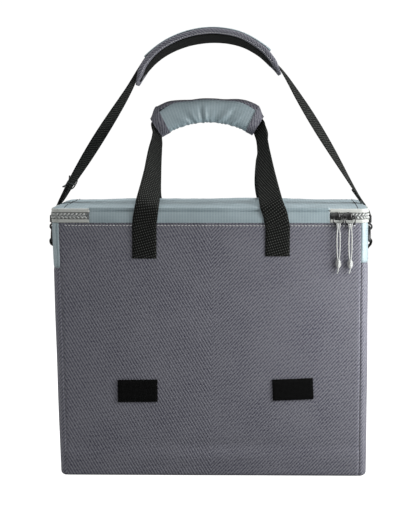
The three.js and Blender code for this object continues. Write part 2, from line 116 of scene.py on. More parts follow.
# Shoulder strap
LEG_LINE = {  # each leg of the strap from the hook up to the pad, out from the middle and up
    "left": [(199.5, 326), (187, 347), (148, 410), (108, 474), (91, 506), (84, 515)],
    "right": [(196.5, 323), (184, 341), (150, 397.5), (111, 461), (86, 500), (66, 522.5)]}
STRAP_TURN_FROM = 328  # a leg's webbing turns between these heights
STRAP_TURN_TO = 509
LEG_TURN = {"left": (0.50, 0.9), "right": (0.43, 1.2)}  # the most it turns, and how far up that comes
TAIL_LENGTH = 38 * MM  # from the sewn-back end round through the hook's eye
PAD_LINE = [(-96.5, 480), (-86.5, 503), (-67, 523), (-36, 538.5), (-1, 544), (33, 539), (59.5, 524.5),
            (75.5, 508), (84.5, 493.5)]
PAD_LEAN = 0.17  # radians; the pad's far edge hangs lower
PAD_ROLL = np.array([0, math.cos(PAD_LEAN), -math.sin(PAD_LEAN)])


# ---------------------------------------------------------------- camera and light

CAMERA_PLACE = (0.075, -3.125, 0.461)
CAMERA_AIM = (-0.006, -0.125, 0.268)
SEEN_WHITE = 1.02  # the background as the camera sees it
SOFT_LIGHT = 0.30  # and as it lights the object


def make_camera():
    data = bpy.data.cameras.new("camera")
    data.lens = 171
    data.sensor_width = 36
    camera = bpy.data.objects.new("camera", data)
    bpy.context.scene.collection.objects.link(camera)
    camera.location = CAMERA_PLACE
    aim = Vector(CAMERA_AIM) - camera.location
    camera.rotation_euler = aim.to_track_quat("-Z", "Y").to_euler()
    bpy.context.scene.camera = camera


def area_light(name, place, target, size, power):
    data = bpy.data.lights.new(name, "AREA")
    data.shape = "DISK"
    data.size = size
    data.energy = power
    lamp = bpy.data.objects.new(name, data)
    bpy.context.scene.collection.objects.link(lamp)
    lamp.location = place
    aim = Vector(target) - lamp.location
    lamp.rotation_euler = aim.to_track_quat("-Z", "Y").to_euler()
    lamp.visible_camera = False
    return lamp


def make_studio():
    """White behind the object, softer light from all round it, and more light from the right."""
    bpy.context.scene.view_settings.view_transform = "Standard"
    world = bpy.data.worlds.new("studio")
    bpy.context.scene.world = world
    world.use_nodes = True
    tree = world.node_tree
    seen = tree.nodes.new("ShaderNodeLightPath")
    strength = add(tree, "ShaderNodeMapRange", {"Value": seen.outputs["Is Camera Ray"],
                                                "To Min": SOFT_LIGHT, "To Max": SEEN_WHITE})
    background = tree.nodes["Background"]
    background.inputs["Color"].default_value = (1, 1, 1, 1)
    tree.links.new(strength.outputs["Result"], background.inputs["Strength"])
    area_light("front", (-0.25, -3.0, 1.1), (0, 0, 0.25), 1.4, 10)
    area_light("near_side", (0.45, -0.31, 0.30), (0.12, -0.12, 0.25), 0.25, 2.3)
    area_light("top", (0.25, 0.1, 2.1), (0, 0, 0.3), 1.2, 30)
    for name, x, power in (("right", 1.3, 10.5), ("left", -1.3, 4.5)):
        side = area_light(f"{name}_side", (x, 0.05, 0.55), (0.08 * x, 0, 0.25), 0.9, power)
        side.data.use_shadow = False


def make_floor():
    """A plain white floor that stays white under the object and sends back a little light."""
    bpy.ops.mesh.primitive_plane_add(size=8, location=(0, 0, -0.0005))
    floor = bpy.context.object
    floor.name = "floor"
    m = bpy.data.materials.new("floor_paint")
    m.use_nodes = True
    tree = m.node_tree
    shader = tree.nodes["Principled BSDF"]
    shader.inputs["Base Color"].default_value = (0.30, 0.30, 0.30, 1)
    shader.inputs["Roughness"].default_value = 0.9
    shader.inputs["Specular IOR Level"].default_value = 0.1
    shader.inputs["Emission Color"].default_value = (1, 1, 1, 1)
    seen = tree.nodes.new("ShaderNodeLightPath")
    glow = add(tree, "ShaderNodeMapRange", {"Value": seen.outputs["Is Camera Ray"],
                                            "To Min": 0.08, "To Max": 1.05})
    tree.links.new(glow.outputs["Result"], shader.inputs["Emission Strength"])
    floor.data.materials.append(m)


# ---------------------------------------------------------------- materials

def new_material(name):
    m = bpy.data.materials.new(name)
    m.use_nodes = True
    tree = m.node_tree
    return m, tree, tree.nodes["Principled BSDF"]


def add(tree, kind, inputs=(), **settings):
    n = tree.nodes.new(kind)
    for key, value in settings.items():
        setattr(n, key, value)
    for key, value in dict(inputs).items():
        if isinstance(value, bpy.types.NodeSocket):
            tree.links.new(value, n.inputs[key])
        else:
            n.inputs[key].default_value = value
    return n


def calc(tree, operation, a, b=0.0):
    return add(tree, "ShaderNodeMath", {0: a, 1: b}, operation=operation).outputs[0]


def ramp(tree, value, dark, light, low=0.0, high=1.0):
    n = tree.nodes.new("ShaderNodeValToRGB")
    n.color_ramp.elements[0].position = low
    n.color_ramp.elements[1].position = high
    n.color_ramp.elements[0].color = (*dark, 1)
    n.color_ramp.elements[1].color = (*light, 1)
    tree.links.new(value, n.inputs["Fac"])
    return n.outputs["Color"]


def map_range(tree, value, low, high):
    n = add(tree, "ShaderNodeMapRange", {"Value": value, "To Min": low, "To Max": high})
    return n.outputs["Result"]


def uv(tree):
    """The piece's own metric map: u across and v along, in millimetres."""
    coords = tree.nodes.new("ShaderNodeTexCoord")
    scaled = add(tree, "ShaderNodeVectorMath", {0: coords.outputs["UV"]}, operation="SCALE")
    scaled.inputs["Scale"].default_value = 1000
    parts = add(tree, "ShaderNodeSeparateXYZ", {0: scaled.outputs[0]})
    return scaled.outputs[0], parts.outputs["X"], parts.outputs["Y"]


def wave(tree, value, period):
    """0 to 1 along value, once every period."""
    turn = calc(tree, "MULTIPLY", value, 2 * math.pi / period)
    half = add(tree, "ShaderNodeMath", {0: calc(tree, "SINE", turn), 1: 0.5, 2: 0.5},
               operation="MULTIPLY_ADD")
    return half.outputs[0]


def mottle(tree, vector, scale, detail=3.0):
    n = add(tree, "ShaderNodeTexNoise", {"Vector": vector, "Scale": scale, "Detail": detail})
    return n.outputs["Fac"]


def bump(tree, shader, height, distance, strength=1.0):
    n = add(tree, "ShaderNodeBump", {"Height": height, "Distance": distance, "Strength": strength})
    tree.links.new(n.outputs["Normal"], shader.inputs["Normal"])


def twill():
    """Coarse yarns in broken slanted ribs that lean one way at the left and the other at the right."""
    m, tree, shader = new_material("twill")
    vector, u, v = uv(tree)
    waver = calc(tree, "MULTIPLY", mottle(tree, vector, 0.09, 2.0), 0.0035)
    across = calc(tree, "ADD", u, waver)
    down = calc(tree, "ADD", calc(tree, "MULTIPLY", across, 0.86), calc(tree, "MULTIPLY", v, 0.51))
    up = calc(tree, "SUBTRACT", calc(tree, "MULTIPLY", across, 0.72), calc(tree, "MULTIPLY", v, 0.69))
    drift = calc(tree, "ADD", u, calc(tree, "MULTIPLY", mottle(tree, vector, 0.008, 1.0), 0.35))
    region = add(tree, "ShaderNodeMapRange", {"Value": drift, "From Min": 0.14, "From Max": 0.26,
                                              "To Min": 0.88, "To Max": 0.14})
    share = region.outputs["Result"]
    one = calc(tree, "MULTIPLY", wave(tree, down, 3.2), share)
    two = calc(tree, "MULTIPLY", wave(tree, up, 3.0), calc(tree, "SUBTRACT", 1.0, share))
    rib = calc(tree, "ADD", one, two)
    row = wave(tree, calc(tree, "SUBTRACT", v, calc(tree, "MULTIPLY", across, 0.12)), 5.6)
    grain = mottle(tree, vector, 0.42, 2.0)
    broad = mottle(tree, vector, 0.02, 4.0)
    yarn = calc(tree, "MULTIPLY", rib, calc(tree, "ADD", calc(tree, "MULTIPLY", row, 0.35), 0.65))
    soft = calc(tree, "ADD", calc(tree, "MULTIPLY", yarn, 0.7), calc(tree, "MULTIPLY", grain, 0.75))
    tone = calc(tree, "ADD", soft, calc(tree, "MULTIPLY", broad, 0.35))
    tree.links.new(ramp(tree, tone, (0.044, 0.043, 0.068), (0.186, 0.187, 0.212), 0.42, 1.25),
                   shader.inputs["Base Color"])
    tree.links.new(map_range(tree, rib, 0.95, 0.75), shader.inputs["Roughness"])
    shader.inputs["Sheen Weight"].default_value = 0.05
    shader.inputs["Specular IOR Level"].default_value = 0.2
    bump(tree, shader, soft, 0.5 * MM, 1.0)
    return m


def ripstop():
    """Thin coated cloth with a fine grid of heavier threads and a slight sheen."""
    m, tree, shader = new_material("ripstop")
    vector, u, v = uv(tree)
    across = calc(tree, "POWER", wave(tree, u, 3.4), 3.0)
    along = calc(tree, "POWER", wave(tree, v, 3.4), 6.0)
    thread = calc(tree, "MAXIMUM", across, calc(tree, "MULTIPLY", along, 0.5))
    fine = calc(tree, "MULTIPLY", wave(tree, u, 0.9), wave(tree, v, 0.9))
    broad = mottle(tree, vector, 0.035, 4.0)
    tone = calc(tree, "ADD", calc(tree, "MULTIPLY", thread, 0.28), calc(tree, "MULTIPLY", broad, 0.85))
    tree.links.new(ramp(tree, tone, (0.205, 0.268, 0.290), (0.350, 0.425, 0.455), 0.15, 0.95),
                   shader.inputs["Base Color"])
    tree.links.new(map_range(tree, broad, 0.34, 0.52), shader.inputs["Roughness"])
    shader.inputs["Specular IOR Level"].default_value = 0.4
    height = calc(tree, "ADD", calc(tree, "MULTIPLY", thread, 0.7), calc(tree, "MULTIPLY", fine, 0.3))
    bump(tree, shader, height, 0.15 * MM, 0.6)
    return m


def webbing(name="webbing", dark=(0.0035, 0.0040, 0.0036), light=(0.066, 0.070, 0.064), power=1.6):
    """Coarse black webbing: bright yarn tops in slanted rows with dark gaps between."""
    m, tree, shader = new_material(name)
    vector, u, v = uv(tree)
    one = wave(tree, calc(tree, "ADD", u, calc(tree, "MULTIPLY", v, 0.35)), 3.0)
    two = wave(tree, calc(tree, "SUBTRACT", v, calc(tree, "MULTIPLY", u, 0.28)), 3.4)
    speck = mottle(tree, vector, 0.7, 2.0)
    top = calc(tree, "POWER", calc(tree, "MULTIPLY", one, two), power)
    tone = calc(tree, "MULTIPLY", top, calc(tree, "ADD", speck, 0.3))
    tree.links.new(ramp(tree, tone, dark, light, 0.06, 0.72), shader.inputs["Base Color"])
    tree.links.new(map_range(tree, top, 0.9, 0.6), shader.inputs["Roughness"])
    shader.inputs["Specular IOR Level"].default_value = 0.12
    bump(tree, shader, calc(tree, "MULTIPLY", one, two), 0.5 * MM, 1.0)
    return m


def zip_tape():
    m, tree, shader = new_material("zip_tape")
    vector, u, v = uv(tree)
    rows = wave(tree, v, 1.2)
    knit = wave(tree, calc(tree, "ADD", u, calc(tree, "MULTIPLY", v, 0.5)), 1.3)
    broad = mottle(tree, vector, 0.08)
    tone = calc(tree, "ADD", calc(tree, "MULTIPLY", calc(tree, "MULTIPLY", rows, knit), 0.55),
                calc(tree, "MULTIPLY", broad, 0.5))
    tree.links.new(ramp(tree, tone, (0.36, 0.375, 0.355), (0.53, 0.545, 0.515), 0.05, 0.9),
                   shader.inputs["Base Color"])
    tree.links.new(map_range(tree, broad, 0.85, 0.7), shader.inputs["Roughness"])
    bump(tree, shader, tone, 0.2 * MM, 0.7)
    return m


def coil():
    m, tree, shader = new_material("zip_coil")
    vector, u, v = uv(tree)
    loop = wave(tree, u, 1.6)
    broad = mottle(tree, vector, 0.3)
    tone = calc(tree, "ADD", calc(tree, "MULTIPLY", loop, 0.5), calc(tree, "MULTIPLY", broad, 0.5))
    tree.links.new(ramp(tree, tone, (0.30, 0.315, 0.305), (0.50, 0.515, 0.50), 0.1, 0.9),
                   shader.inputs["Base Color"])
    tree.links.new(map_range(tree, broad, 0.34, 0.48), shader.inputs["Roughness"])
    bump(tree, shader, loop, 0.15 * MM, 0.6)
    return m


def plain(name, dark, light, rough, scale, relief, metal=0.0, sheen=0.0, coat=0.0):
    """Moulded, enamelled or felted stuff: mottled colour, roughness and relief."""
    m, tree, shader = new_material(name)
    coords = tree.nodes.new("ShaderNodeTexCoord")
    grain = mottle(tree, coords.outputs["Object"], scale, 5.0)
    broad = mottle(tree, coords.outputs["Object"], scale * 0.11, 2.0)
    tone = calc(tree, "ADD", calc(tree, "MULTIPLY", grain, 0.5), calc(tree, "MULTIPLY", broad, 0.5))
    tree.links.new(ramp(tree, tone, dark, light, 0.3, 0.7), shader.inputs["Base Color"])
    tree.links.new(map_range(tree, tone, rough * 0.85, rough * 1.15), shader.inputs["Roughness"])
    shader.inputs["Metallic"].default_value = metal
    shader.inputs["Sheen Weight"].default_value = sheen
    shader.inputs["Coat Weight"].default_value = coat
    bump(tree, shader, grain, relief, 0.6)
    return m


def braid():
    m, tree, shader = new_material("pull_cord")
    vector, u, v = uv(tree)
    one = wave(tree, calc(tree, "ADD", v, calc(tree, "MULTIPLY", u, 0.8)), 1.6)
    two = wave(tree, calc(tree, "SUBTRACT", v, calc(tree, "MULTIPLY", u, 0.8)), 1.6)
    strand = calc(tree, "MAXIMUM", one, two)
    tree.links.new(ramp(tree, strand, (0.24, 0.25, 0.245), (0.47, 0.48, 0.47), 0.3, 1.0),
                   shader.inputs["Base Color"])
    tree.links.new(map_range(tree, strand, 0.95, 0.75), shader.inputs["Roughness"])
    bump(tree, shader, strand, 0.2 * MM, 0.8)
    return m


def film():
    """The wipe-clean liner: a crinkled silver-grey film."""
    m, tree, shader = new_material("liner_film")
    coords = tree.nodes.new("ShaderNodeTexCoord")
    crease = add(tree, "ShaderNodeTexVoronoi", {"Vector": coords.outputs["Object"], "Scale": 22.0},
                 feature="DISTANCE_TO_EDGE")
    soft = mottle(tree, coords.outputs["Object"], 34.0, 6.0)
    tone = calc(tree, "ADD", calc(tree, "MULTIPLY", crease.outputs["Distance"], 0.5), soft)
    tree.links.new(ramp(tree, soft, (0.50, 0.53, 0.54), (0.66, 0.69, 0.70), 0.3, 0.7),
                   shader.inputs["Base Color"])
    tree.links.new(map_range(tree, soft, 0.22, 0.42), shader.inputs["Roughness"])
    shader.inputs["Metallic"].default_value = 0.35
    bump(tree, shader, tone, 1.5 * MM, 0.5)
    return m


def hooks():
    m, tree, shader = new_material("hook_tape")
    vector, u, v = uv(tree)
    dots = calc(tree, "MULTIPLY", wave(tree, u, 1.5), wave(tree, v, 1.5))
    speck = mottle(tree, vector, 1.2, 4.0)
    tone = calc(tree, "ADD", calc(tree, "MULTIPLY", dots, 0.6), calc(tree, "MULTIPLY", speck, 0.5))
    tree.links.new(ramp(tree, tone, (0.001, 0.001, 0.001), (0.010, 0.0105, 0.0105), 0.3, 0.9),
                   shader.inputs["Base Color"])
    tree.links.new(map_range(tree, dots, 0.95, 0.7), shader.inputs["Roughness"])
    shader.inputs["Specular IOR Level"].default_value = 0.08
    bump(tree, shader, tone, 0.5 * MM, 0.9)
    return m


def make_materials():
    return {
        "twill": twill(),
        "ripstop": ripstop(),
        "webbing": webbing(),
        "lining": webbing("lining", (0.002, 0.0024, 0.0022), (0.020, 0.022, 0.021), 1.0),
        # the zip's groove: a darker grey strip whose darkness is painted shade between the teeth
        "groove": webbing("zip_groove_painted_shade", (0.27, 0.28, 0.28), (0.38, 0.39, 0.39), 1.0),
        # near-black strip: painted shade along the join of zip chain and tape
        "zip_join_painted_shade": plain("zip_join_painted_shade", (0.03, 0.032, 0.032), (0.07, 0.075, 0.075), 0.7, 200, 0.1 * MM),
        "zip_tape": zip_tape(),
        "zip_chain": coil(),
        "slider": plain("slider_enamel", (0.002, 0.002, 0.002), (0.005, 0.005, 0.005), 0.36, 300,
                        0.05 * MM, metal=0.3, coat=0.5),
        "cord": braid(),
        "plastic": plain("black_plastic", (0.004, 0.0045, 0.005), (0.010, 0.011, 0.012), 0.42, 260,
                         0.08 * MM),
        "foam": plain("foam_board", (0.66, 0.66, 0.63), (0.80, 0.80, 0.77), 0.9, 400, 0.3 * MM),
        "liner": film(),
        "hook_tape": hooks(),
        "thread_light": plain("light_thread", (0.40, 0.40, 0.40), (0.52, 0.52, 0.52), 0.7, 900, 0.05 * MM),
        "thread_dark": plain("dark_thread", (0.004, 0.004, 0.0045), (0.010, 0.010, 0.011), 0.7, 900,
                             0.05 * MM),
    }


# ---------------------------------------------------------------- mesh helpers

def unit(v):
    return v / np.maximum(np.linalg.norm(v, axis=-1, keepdims=True), 1e-12)


def smoothstep(low, high, x):
    t = np.clip((x - low) / (high - low), 0, 1)
    return t * t * (3 - 2 * t)


def smooth_path(points, count):
    """count evenly spaced points on a centripetal Catmull-Rom curve."""
    p = np.array(points, float)
    p = np.vstack([2 * p[0] - p[1], p, 2 * p[-1] - p[-2]])
    dense = []
    for a, b, c, d in zip(p, p[1:], p[2:], p[3:]):
        steps = [np.linalg.norm(y - x) ** 0.5 for x, y in ((a, b), (b, c), (c, d))]
        t = np.cumsum([0] + steps)
        for s in np.linspace(t[1], t[2], 24, endpoint=False):
            def mix(x, y, i, j):
                return (x * (t[j] - s) + y * (s - t[i])) / (t[j] - t[i])
            left, mid, right = mix(a, b, 0, 1), mix(b, c, 1, 2), mix(c, d, 2, 3)
            dense.append(mix(mix(left, mid, 0, 2), mix(mid, right, 1, 3), 1, 2))
    dense = np.array(dense + [p[-2]])
    s = np.r_[0, np.cumsum(np.linalg.norm(np.diff(dense, axis=0), axis=1))]
    even = np.linspace(0, s[-1], count)
    return np.stack([np.interp(even, s, dense[:, i]) for i in range(3)], 1)


def arc_length(points):
    return np.r_[0, np.cumsum(np.linalg.norm(np.diff(points, axis=0), axis=1))]


def add_object(name, verts, faces, uvs, material):
    """A mesh object. uvs holds one (u, v) for each vertex, in metres."""
    mesh = bpy.data.meshes.new(name)
    mesh.from_pydata([tuple(v) for v in verts], [], faces)
    layer = mesh.uv_layers.new(name="metric")
    loops = np.zeros(len(mesh.loops), np.int32)
    mesh.loops.foreach_get("vertex_index", loops)
    layer.data.foreach_set("uv", np.array(uvs, np.float32)[loops].ravel())
    mesh.polygons.foreach_set("use_smooth", [True] * len(mesh.polygons))
    mesh.materials.append(material)
    mesh.update()
    made = bpy.data.objects.new(name, mesh)
    bpy.context.scene.collection.objects.link(made)
    return made


def grid_faces(rows, columns, wrap=False):
    last = columns if wrap else columns - 1
    faces = []
    for r in range(rows - 1):
        for c in range(last):
            d = (c + 1) % columns
            faces.append((r * columns + c, r * columns + d, (r + 1) * columns + d, (r + 1) * columns + c))
    return faces


def cloth_patch(name, points, u, v, material, thick=FABRIC):
    """An open grid of points [row, column], made thick towards its back."""
    rows, columns = points.shape[:2]
    uvs = np.stack(np.broadcast_arrays(u, v), -1).reshape(-1, 2)
    made = add_object(name, points.reshape(-1, 3), grid_faces(rows, columns), uvs, material)
    thicken = made.modifiers.new("thick", "SOLIDIFY")
    thicken.thickness = thick
    thicken.offset = -1
    return made


def tube_mesh(name, rings, uvs, material):
    """Closed rings [ring, point] joined into a tube with flat ends."""
    count, around = rings.shape[:2]
    faces = grid_faces(count, around, wrap=True)
    faces.append(tuple(reversed(range(around))))
    faces.append(tuple(range((count - 1) * around, count * around)))
    return add_object(name, rings.reshape(-1, 3), faces, uvs.reshape(-1, 2), material)


def frames_on(centres, wish):
    """Tangent, across and outward directions, with across as near to wish as it can be."""
    along = unit(np.gradient(centres, axis=0))
    wish = np.broadcast_to(wish, centres.shape)
    across = unit(wish - along * np.sum(wish * along, axis=1, keepdims=True))
    return along, across, np.cross(along, across)


def ribbon(name, centres, wish, wide, thick, material, rows=10, bow=0.0):
    """A flat band with soft edges. bow bends it across its width."""
    along, across, out = frames_on(centres, wish)
    half = np.linspace(-0.5, 0.5, rows + 1)
    a = np.r_[half, half[::-1]]
    edge = np.where(np.abs(a) > 0.49, 0.45, 1.0)
    b = np.r_[-np.ones(rows + 1), np.ones(rows + 1)] * 0.5 * edge
    wide = np.broadcast_to(wide, len(centres))[:, None]
    bow = np.broadcast_to(bow, len(centres))[:, None]
    offset_out = b[None, :] * thick + bow * (1 - 4 * a[None, :] ** 2)
    rings = (centres[:, None] + across[:, None] * (a[None, :] * wide)[..., None]
             + out[:, None] * offset_out[..., None])
    length = arc_length(centres)
    uvs = np.stack(np.broadcast_arrays(a[None, :] * wide, length[:, None]), -1)
    return tube_mesh(name, rings, uvs, material)


def round_tube(name, centres, radius, material, sides=10):
    along, across, out = frames_on(centres, (0.31, 0.12, 0.94))
    angle = np.linspace(0, 2 * math.pi, sides, endpoint=False)
    radius = np.broadcast_to(radius, len(centres))[:, None, None]
    ring = (across[:, None] * np.cos(angle)[None, :, None]
            + out[:, None] * np.sin(angle)[None, :, None]) * radius
    rings = centres[:, None] + ring
    length = arc_length(centres)
    uvs = np.stack(np.broadcast_arrays(angle[None, :] * radius[:, :, 0], length[:, None]), -1)
    return tube_mesh(name, rings, uvs, material)


def stitches(name, path, normal, material, pitch=3.4 * MM, share=0.62, radius=0.32 * MM):
    """A row of raised stitches along a path, as one mesh."""
    length = arc_length(path)
    count = max(1, int(length[-1] / pitch))
    verts, faces, uvs = [], [], []
    for k in range(count):
        ends = (np.array([0.0, 0.18, 0.82, 1.0]) * share + k + 0.5 * (1 - share)) * pitch
        mids = np.stack([np.interp(ends, length, path[:, i]) for i in range(3)], 1)
        along = unit(mids[-1] - mids[0])
        up = unit(np.array(normal, float) if np.ndim(normal) == 1
                  else np.array([np.interp(ends[1], length, normal[:, i]) for i in range(3)]))
        side = np.cross(along, up)
        first = len(verts)
        for mid, swell in zip(mids, (0.35, 1.0, 1.0, 0.35)):
            for turn in np.linspace(0, 2 * math.pi, 6, endpoint=False):
                verts.append(mid + radius * swell * (side * math.cos(turn) + up * math.sin(turn)))
                uvs.append((turn * radius, length[-1]))
        for r in range(3):
            for c in range(6):
                d = (c + 1) % 6
                faces.append((first + r * 6 + c, first + r * 6 + d,
                              first + r * 6 + 6 + d, first + r * 6 + 6 + c))
        faces.append(tuple(first + c for c in reversed(range(6))))
        faces.append(tuple(first + 18 + c for c in range(6)))
    return add_object(name, np.array(verts), faces, uvs, material)


def soft_noise(points, scale, seed=0.0):
    """Smooth noise, about -1 to 1, for each of points."""
    flat = np.asarray(points, float).reshape(-1, 3) * scale + seed
    values = [noise.noise(Vector(p)) for p in flat]
    return np.array(values).reshape(np.asarray(points).shape[:-1])


def join(name, parts):
    """One object from several, with its modifiers applied."""
    for part in parts:
        bpy.context.view_layer.objects.active = part
        for modifier in list(part.modifiers):
            with bpy.context.temp_override(object=part):
                bpy.ops.object.modifier_apply(modifier=modifier.name)
    bpy.ops.object.select_all(action="DESELECT")
    for part in parts:
        part.select_set(True)
    bpy.context.view_layer.objects.active = parts[0]
    bpy.ops.object.join()
    parts[0].name = name
    return parts[0]


# ---------------------------------------------------------------- bag body

def narrowing(z):
    return 1 - (1 - BASE_HALF_W / HALF_W) * np.maximum(0, 1 - z / ZIP_Z)


def side_bulge(x):
    """Half width of the plan at y, in its rounded corners too."""
    over = np.clip((np.abs(x) - (HALF_D - CORNER_Y)) / CORNER_Y, 0, 1)
    return HALF_W - CORNER_X * (1 - np.sqrt(1 - over ** 2))


def settle(points):
    """The filled bag stands a little wider at its top left and its bottom right."""
    x, z = points[..., 0], points[..., 2]
    high = np.clip(z / SEAM_Z, 0, 1)
    left = LEFT_SPREAD * high * smoothstep(0.148, 0.186, -x)
    right = RIGHT_SPREAD * (1 - high) * smoothstep(0.150, 0.186, x)
    points[..., 0] = x - left + right
    return points


def foot_inset(z):
    rest = np.clip(FOOT - z, 0, FOOT)
    return FOOT - np.sqrt(np.maximum(FOOT ** 2 - rest ** 2, 0))


def wall_levels(z0, z1, step=4 * MM):
    z = list(np.arange(z0, z1, step)) + [z1]
    if z0 < FOOT:
        z = [0.3 * MM, 0.8 * MM, 1.5 * MM, 2.4 * MM, 3.6 * MM] + [a for a in z if a > 5 * MM]
    return np.array(z)


def face_panel(name, side, paint):
    """A face of the bag: nearly flat, drawn in at its seams, with a soft roll near the floor."""
    z = wall_levels(0, SEAM_Z)[:, None]
    s = np.linspace(-1, 1, 120)[None, :]
    s = np.sin(s * math.pi / 2) * 0.35 + s * 0.65
    x = s * (FACE - 0.1 * MM) * narrowing(z)
    y = np.full_like(x + z, HALF_D)
    points = np.stack(np.broadcast_arrays(x, y, z + 0 * x), -1).copy()
    puff = 1.6 * MM * (1 - s ** 2) * np.sin(math.pi * np.clip(z / SEAM_Z, 0, 1)) ** 0.7
    roll = 1.2 * MM * np.exp(-((z - 22 * MM) / (9 * MM)) ** 2) * (0.6 + 0.4 * np.cos(s * 5.0))
    crease = -0.9 * MM * np.exp(-((z - 38 * MM) / (6 * MM)) ** 2) * (0.7 + 0.3 * np.sin(s * 4.0 + 1))
    wavy = 0.55 * MM * soft_noise(points, 14.0, 3.0 * side) * (1 - s ** 8)
    edge = 0.9 * MM * smoothstep(0.985, 1.0, np.abs(s))
    lip = 0.8 * MM * smoothstep(SEAM_Z - 3.5 * MM, SEAM_Z, z)
    out = puff + roll + crease + wavy - edge - lip - foot_inset(z)
    points[..., 1] = side * (HALF_D + SKIN_OUT + out)
    settle(points)
    if side > 0:
        points = points[:, ::-1]
    u = points[..., 0] if side < 0 else -points[..., 0]
    made = cloth_patch(name, points, u, z + 0 * u, paint["twill"])
    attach(made, "bag")
    return made


def gusset_path(count):
    """Right-hand side of the plan from the rear seam to the front seam, and its normals."""
    turn = np.linspace(0, math.pi / 2, 12)
    rear = np.stack([FACE + CORNER_X * np.sin(turn), -(HALF_D - CORNER_Y) - CORNER_Y * np.cos(turn)], 1)
    front = rear[::-1] * (1, -1)
    middle = np.stack([np.full(20, HALF_W), np.linspace(rear[-1][1], front[0][1], 22)[1:-1]], 1)
    path = np.vstack([rear, middle, front])
    s = arc_length(path)
    even = np.linspace(0, s[-1], count)
    path = np.stack([np.interp(even, s, path[:, i]) for i in range(2)], 1)
    along = unit(np.gradient(path, axis=0))
    return path, np.stack([along[:, 1], -along[:, 0]], 1), even


def gusset(name, side, z0, z1, cloth, paint):
    path, normal, s = gusset_path(90)
    z = wall_levels(z0, z1)[:, None]
    share = s / s[-1]
    edge = 0.8 * MM * (1 - smoothstep(0, 3.5 * MM, np.minimum(s, s[-1] - s)))
    points = np.zeros((len(z), len(s), 3))
    points[..., 0] = path[:, 0] * narrowing(z)
    points[..., 1] = path[:, 1]
    points[..., 2] = z
    puff = 2.2 * MM * np.sin(math.pi * share) * np.sin(math.pi * np.clip(z / SEAM_Z, 0, 1)) ** 0.6
    wavy = 0.8 * MM * soft_noise(points, 13.0, 9.0 * side) * np.sin(math.pi * share) ** 0.3
    change = z0 if z0 > 0 else z1
    seam = 0.5 * MM * (np.exp(-((z - change) / (1.6 * MM)) ** 2) + smoothstep(SEAM_Z - 3 * MM, SEAM_Z, z))
    out = SKIN_OUT + puff + wavy - edge - seam - foot_inset(z)
    points[..., 0] += normal[:, 0] * out
    points[..., 1] += normal[:, 1] * out
    if side < 0:
        points[..., 0] *= -1
        points = points[:, ::-1]
    settle(points)
    made = cloth_patch(name, points, s[None, :] + 0 * z, z + 0 * s[None, :], paint[cloth])
    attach(made, "bag")
    return made


def bottom_patch(paint):
    rows, columns = 24, 40
    y = np.linspace(-1, 1, rows)[:, None] * (HALF_D - FOOT + 0.6 * MM)
    x = np.linspace(-1, 1, columns)[None, :] * (side_bulge(y) * narrowing(0) - FOOT + 0.6 * MM)
    points = np.stack([x, y + 0 * x, 0 * x + 0.25 * MM], -1)
    points = settle(points[::-1])
    made = cloth_patch("bottom_skin", points, points[..., 0], points[..., 1], paint["twill"],
                       0.8 * MM)
    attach(made, "bag")
    return made


def make_bag(paint):
    rear = face_panel("rear_skin", -1, paint)
    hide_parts("rear_panel")
    front = face_panel("front_skin", 1, paint)
    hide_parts("front_panel")
    for side, end in ((-1, "left"), (1, "right")):
        change = COLOUR_Z + (RIGHT_CHANGE_UP if end == "right" else 0)
        lower = gusset(f"gusset_skin_{end}_lower", side, 0, change, "twill", paint)
        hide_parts(f"gusset_{end}_lower")
        upper = gusset(f"gusset_skin_{end}_upper", side, change, SEAM_Z, "ripstop", paint)
        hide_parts(f"gusset_{end}_upper")
    bottom = bottom_patch(paint)
    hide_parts("bottom_panel")
    for side, face in ((-1, "rear"), (1, "front")):
        top_stitch(side, face, paint)


def top_stitch(side, face, paint):
    """The row of light stitches along the top of a face."""
    x = np.linspace(4 * MM - FACE, FACE - 4 * MM, 60)
    y = np.full_like(x, side * (HALF_D + SKIN_OUT + 1.2 * MM))
    line = np.stack([x, y, np.full_like(x, SEAM_Z - TOP_STITCH_DOWN)], 1)
    made = stitches(f"{face}_top_stitch", line, (0, side, 0), paint["thread_light"],
                    4.2 * MM, 0.7, 0.55 * MM)
    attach(made, "bag")


# ---------------------------------------------------------------- zip and lid

def rim_path(start_x, end_x, count):
    """The plan from start_x on the rear face, right, round the front, and back to end_x."""
    side, normal, s = gusset_path(120)
    left = side[::-1] * (-1, 1)
    left_normal = normal[::-1] * (-1, 1)
    rear_right = np.array([[start_x, -HALF_D]])
    rear_left = np.array([[end_x, -HALF_D]])
    path = np.vstack([rear_right, side, left, rear_left])
    normals = np.vstack([[(0, -1)], normal, left_normal, [(0, -1)]])
    s = arc_length(path)
    even = np.linspace(0, s[-1], count)
    path = np.stack([np.interp(even, s, path[:, i]) for i in range(2)], 1)
    normals = unit(np.stack([np.interp(even, s, normals[:, i]) for i in range(2)], 1))
    return path, normals, even


def rim(name, profile, material, body, start=ZIP_RIGHT, end=ZIP_LEFT, count=420):
    """A section of (out, z) points carried round the zip's run."""
    path, normals, s = rim_path(start, end, count)
    out = np.array([p[0] for p in profile]) * MM
    z = np.array([p[1] for p in profile]) * MM
    rings = np.zeros((count, len(profile), 3))
    rings[..., 0] = path[:, None, 0] + normals[:, None, 0] * out
    rings[..., 1] = path[:, None, 1] + normals[:, None, 1] * out
    rings[..., 2] = z
    settle(rings)
    section = arc_length(np.stack([out, z], 1))
    uvs = np.stack(np.broadcast_arrays(s[:, None], section[None, :]), -1)
    made = tube_mesh(name, rings[:, ::-1], uvs[:, ::-1], material)
    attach(made, body)
    return made


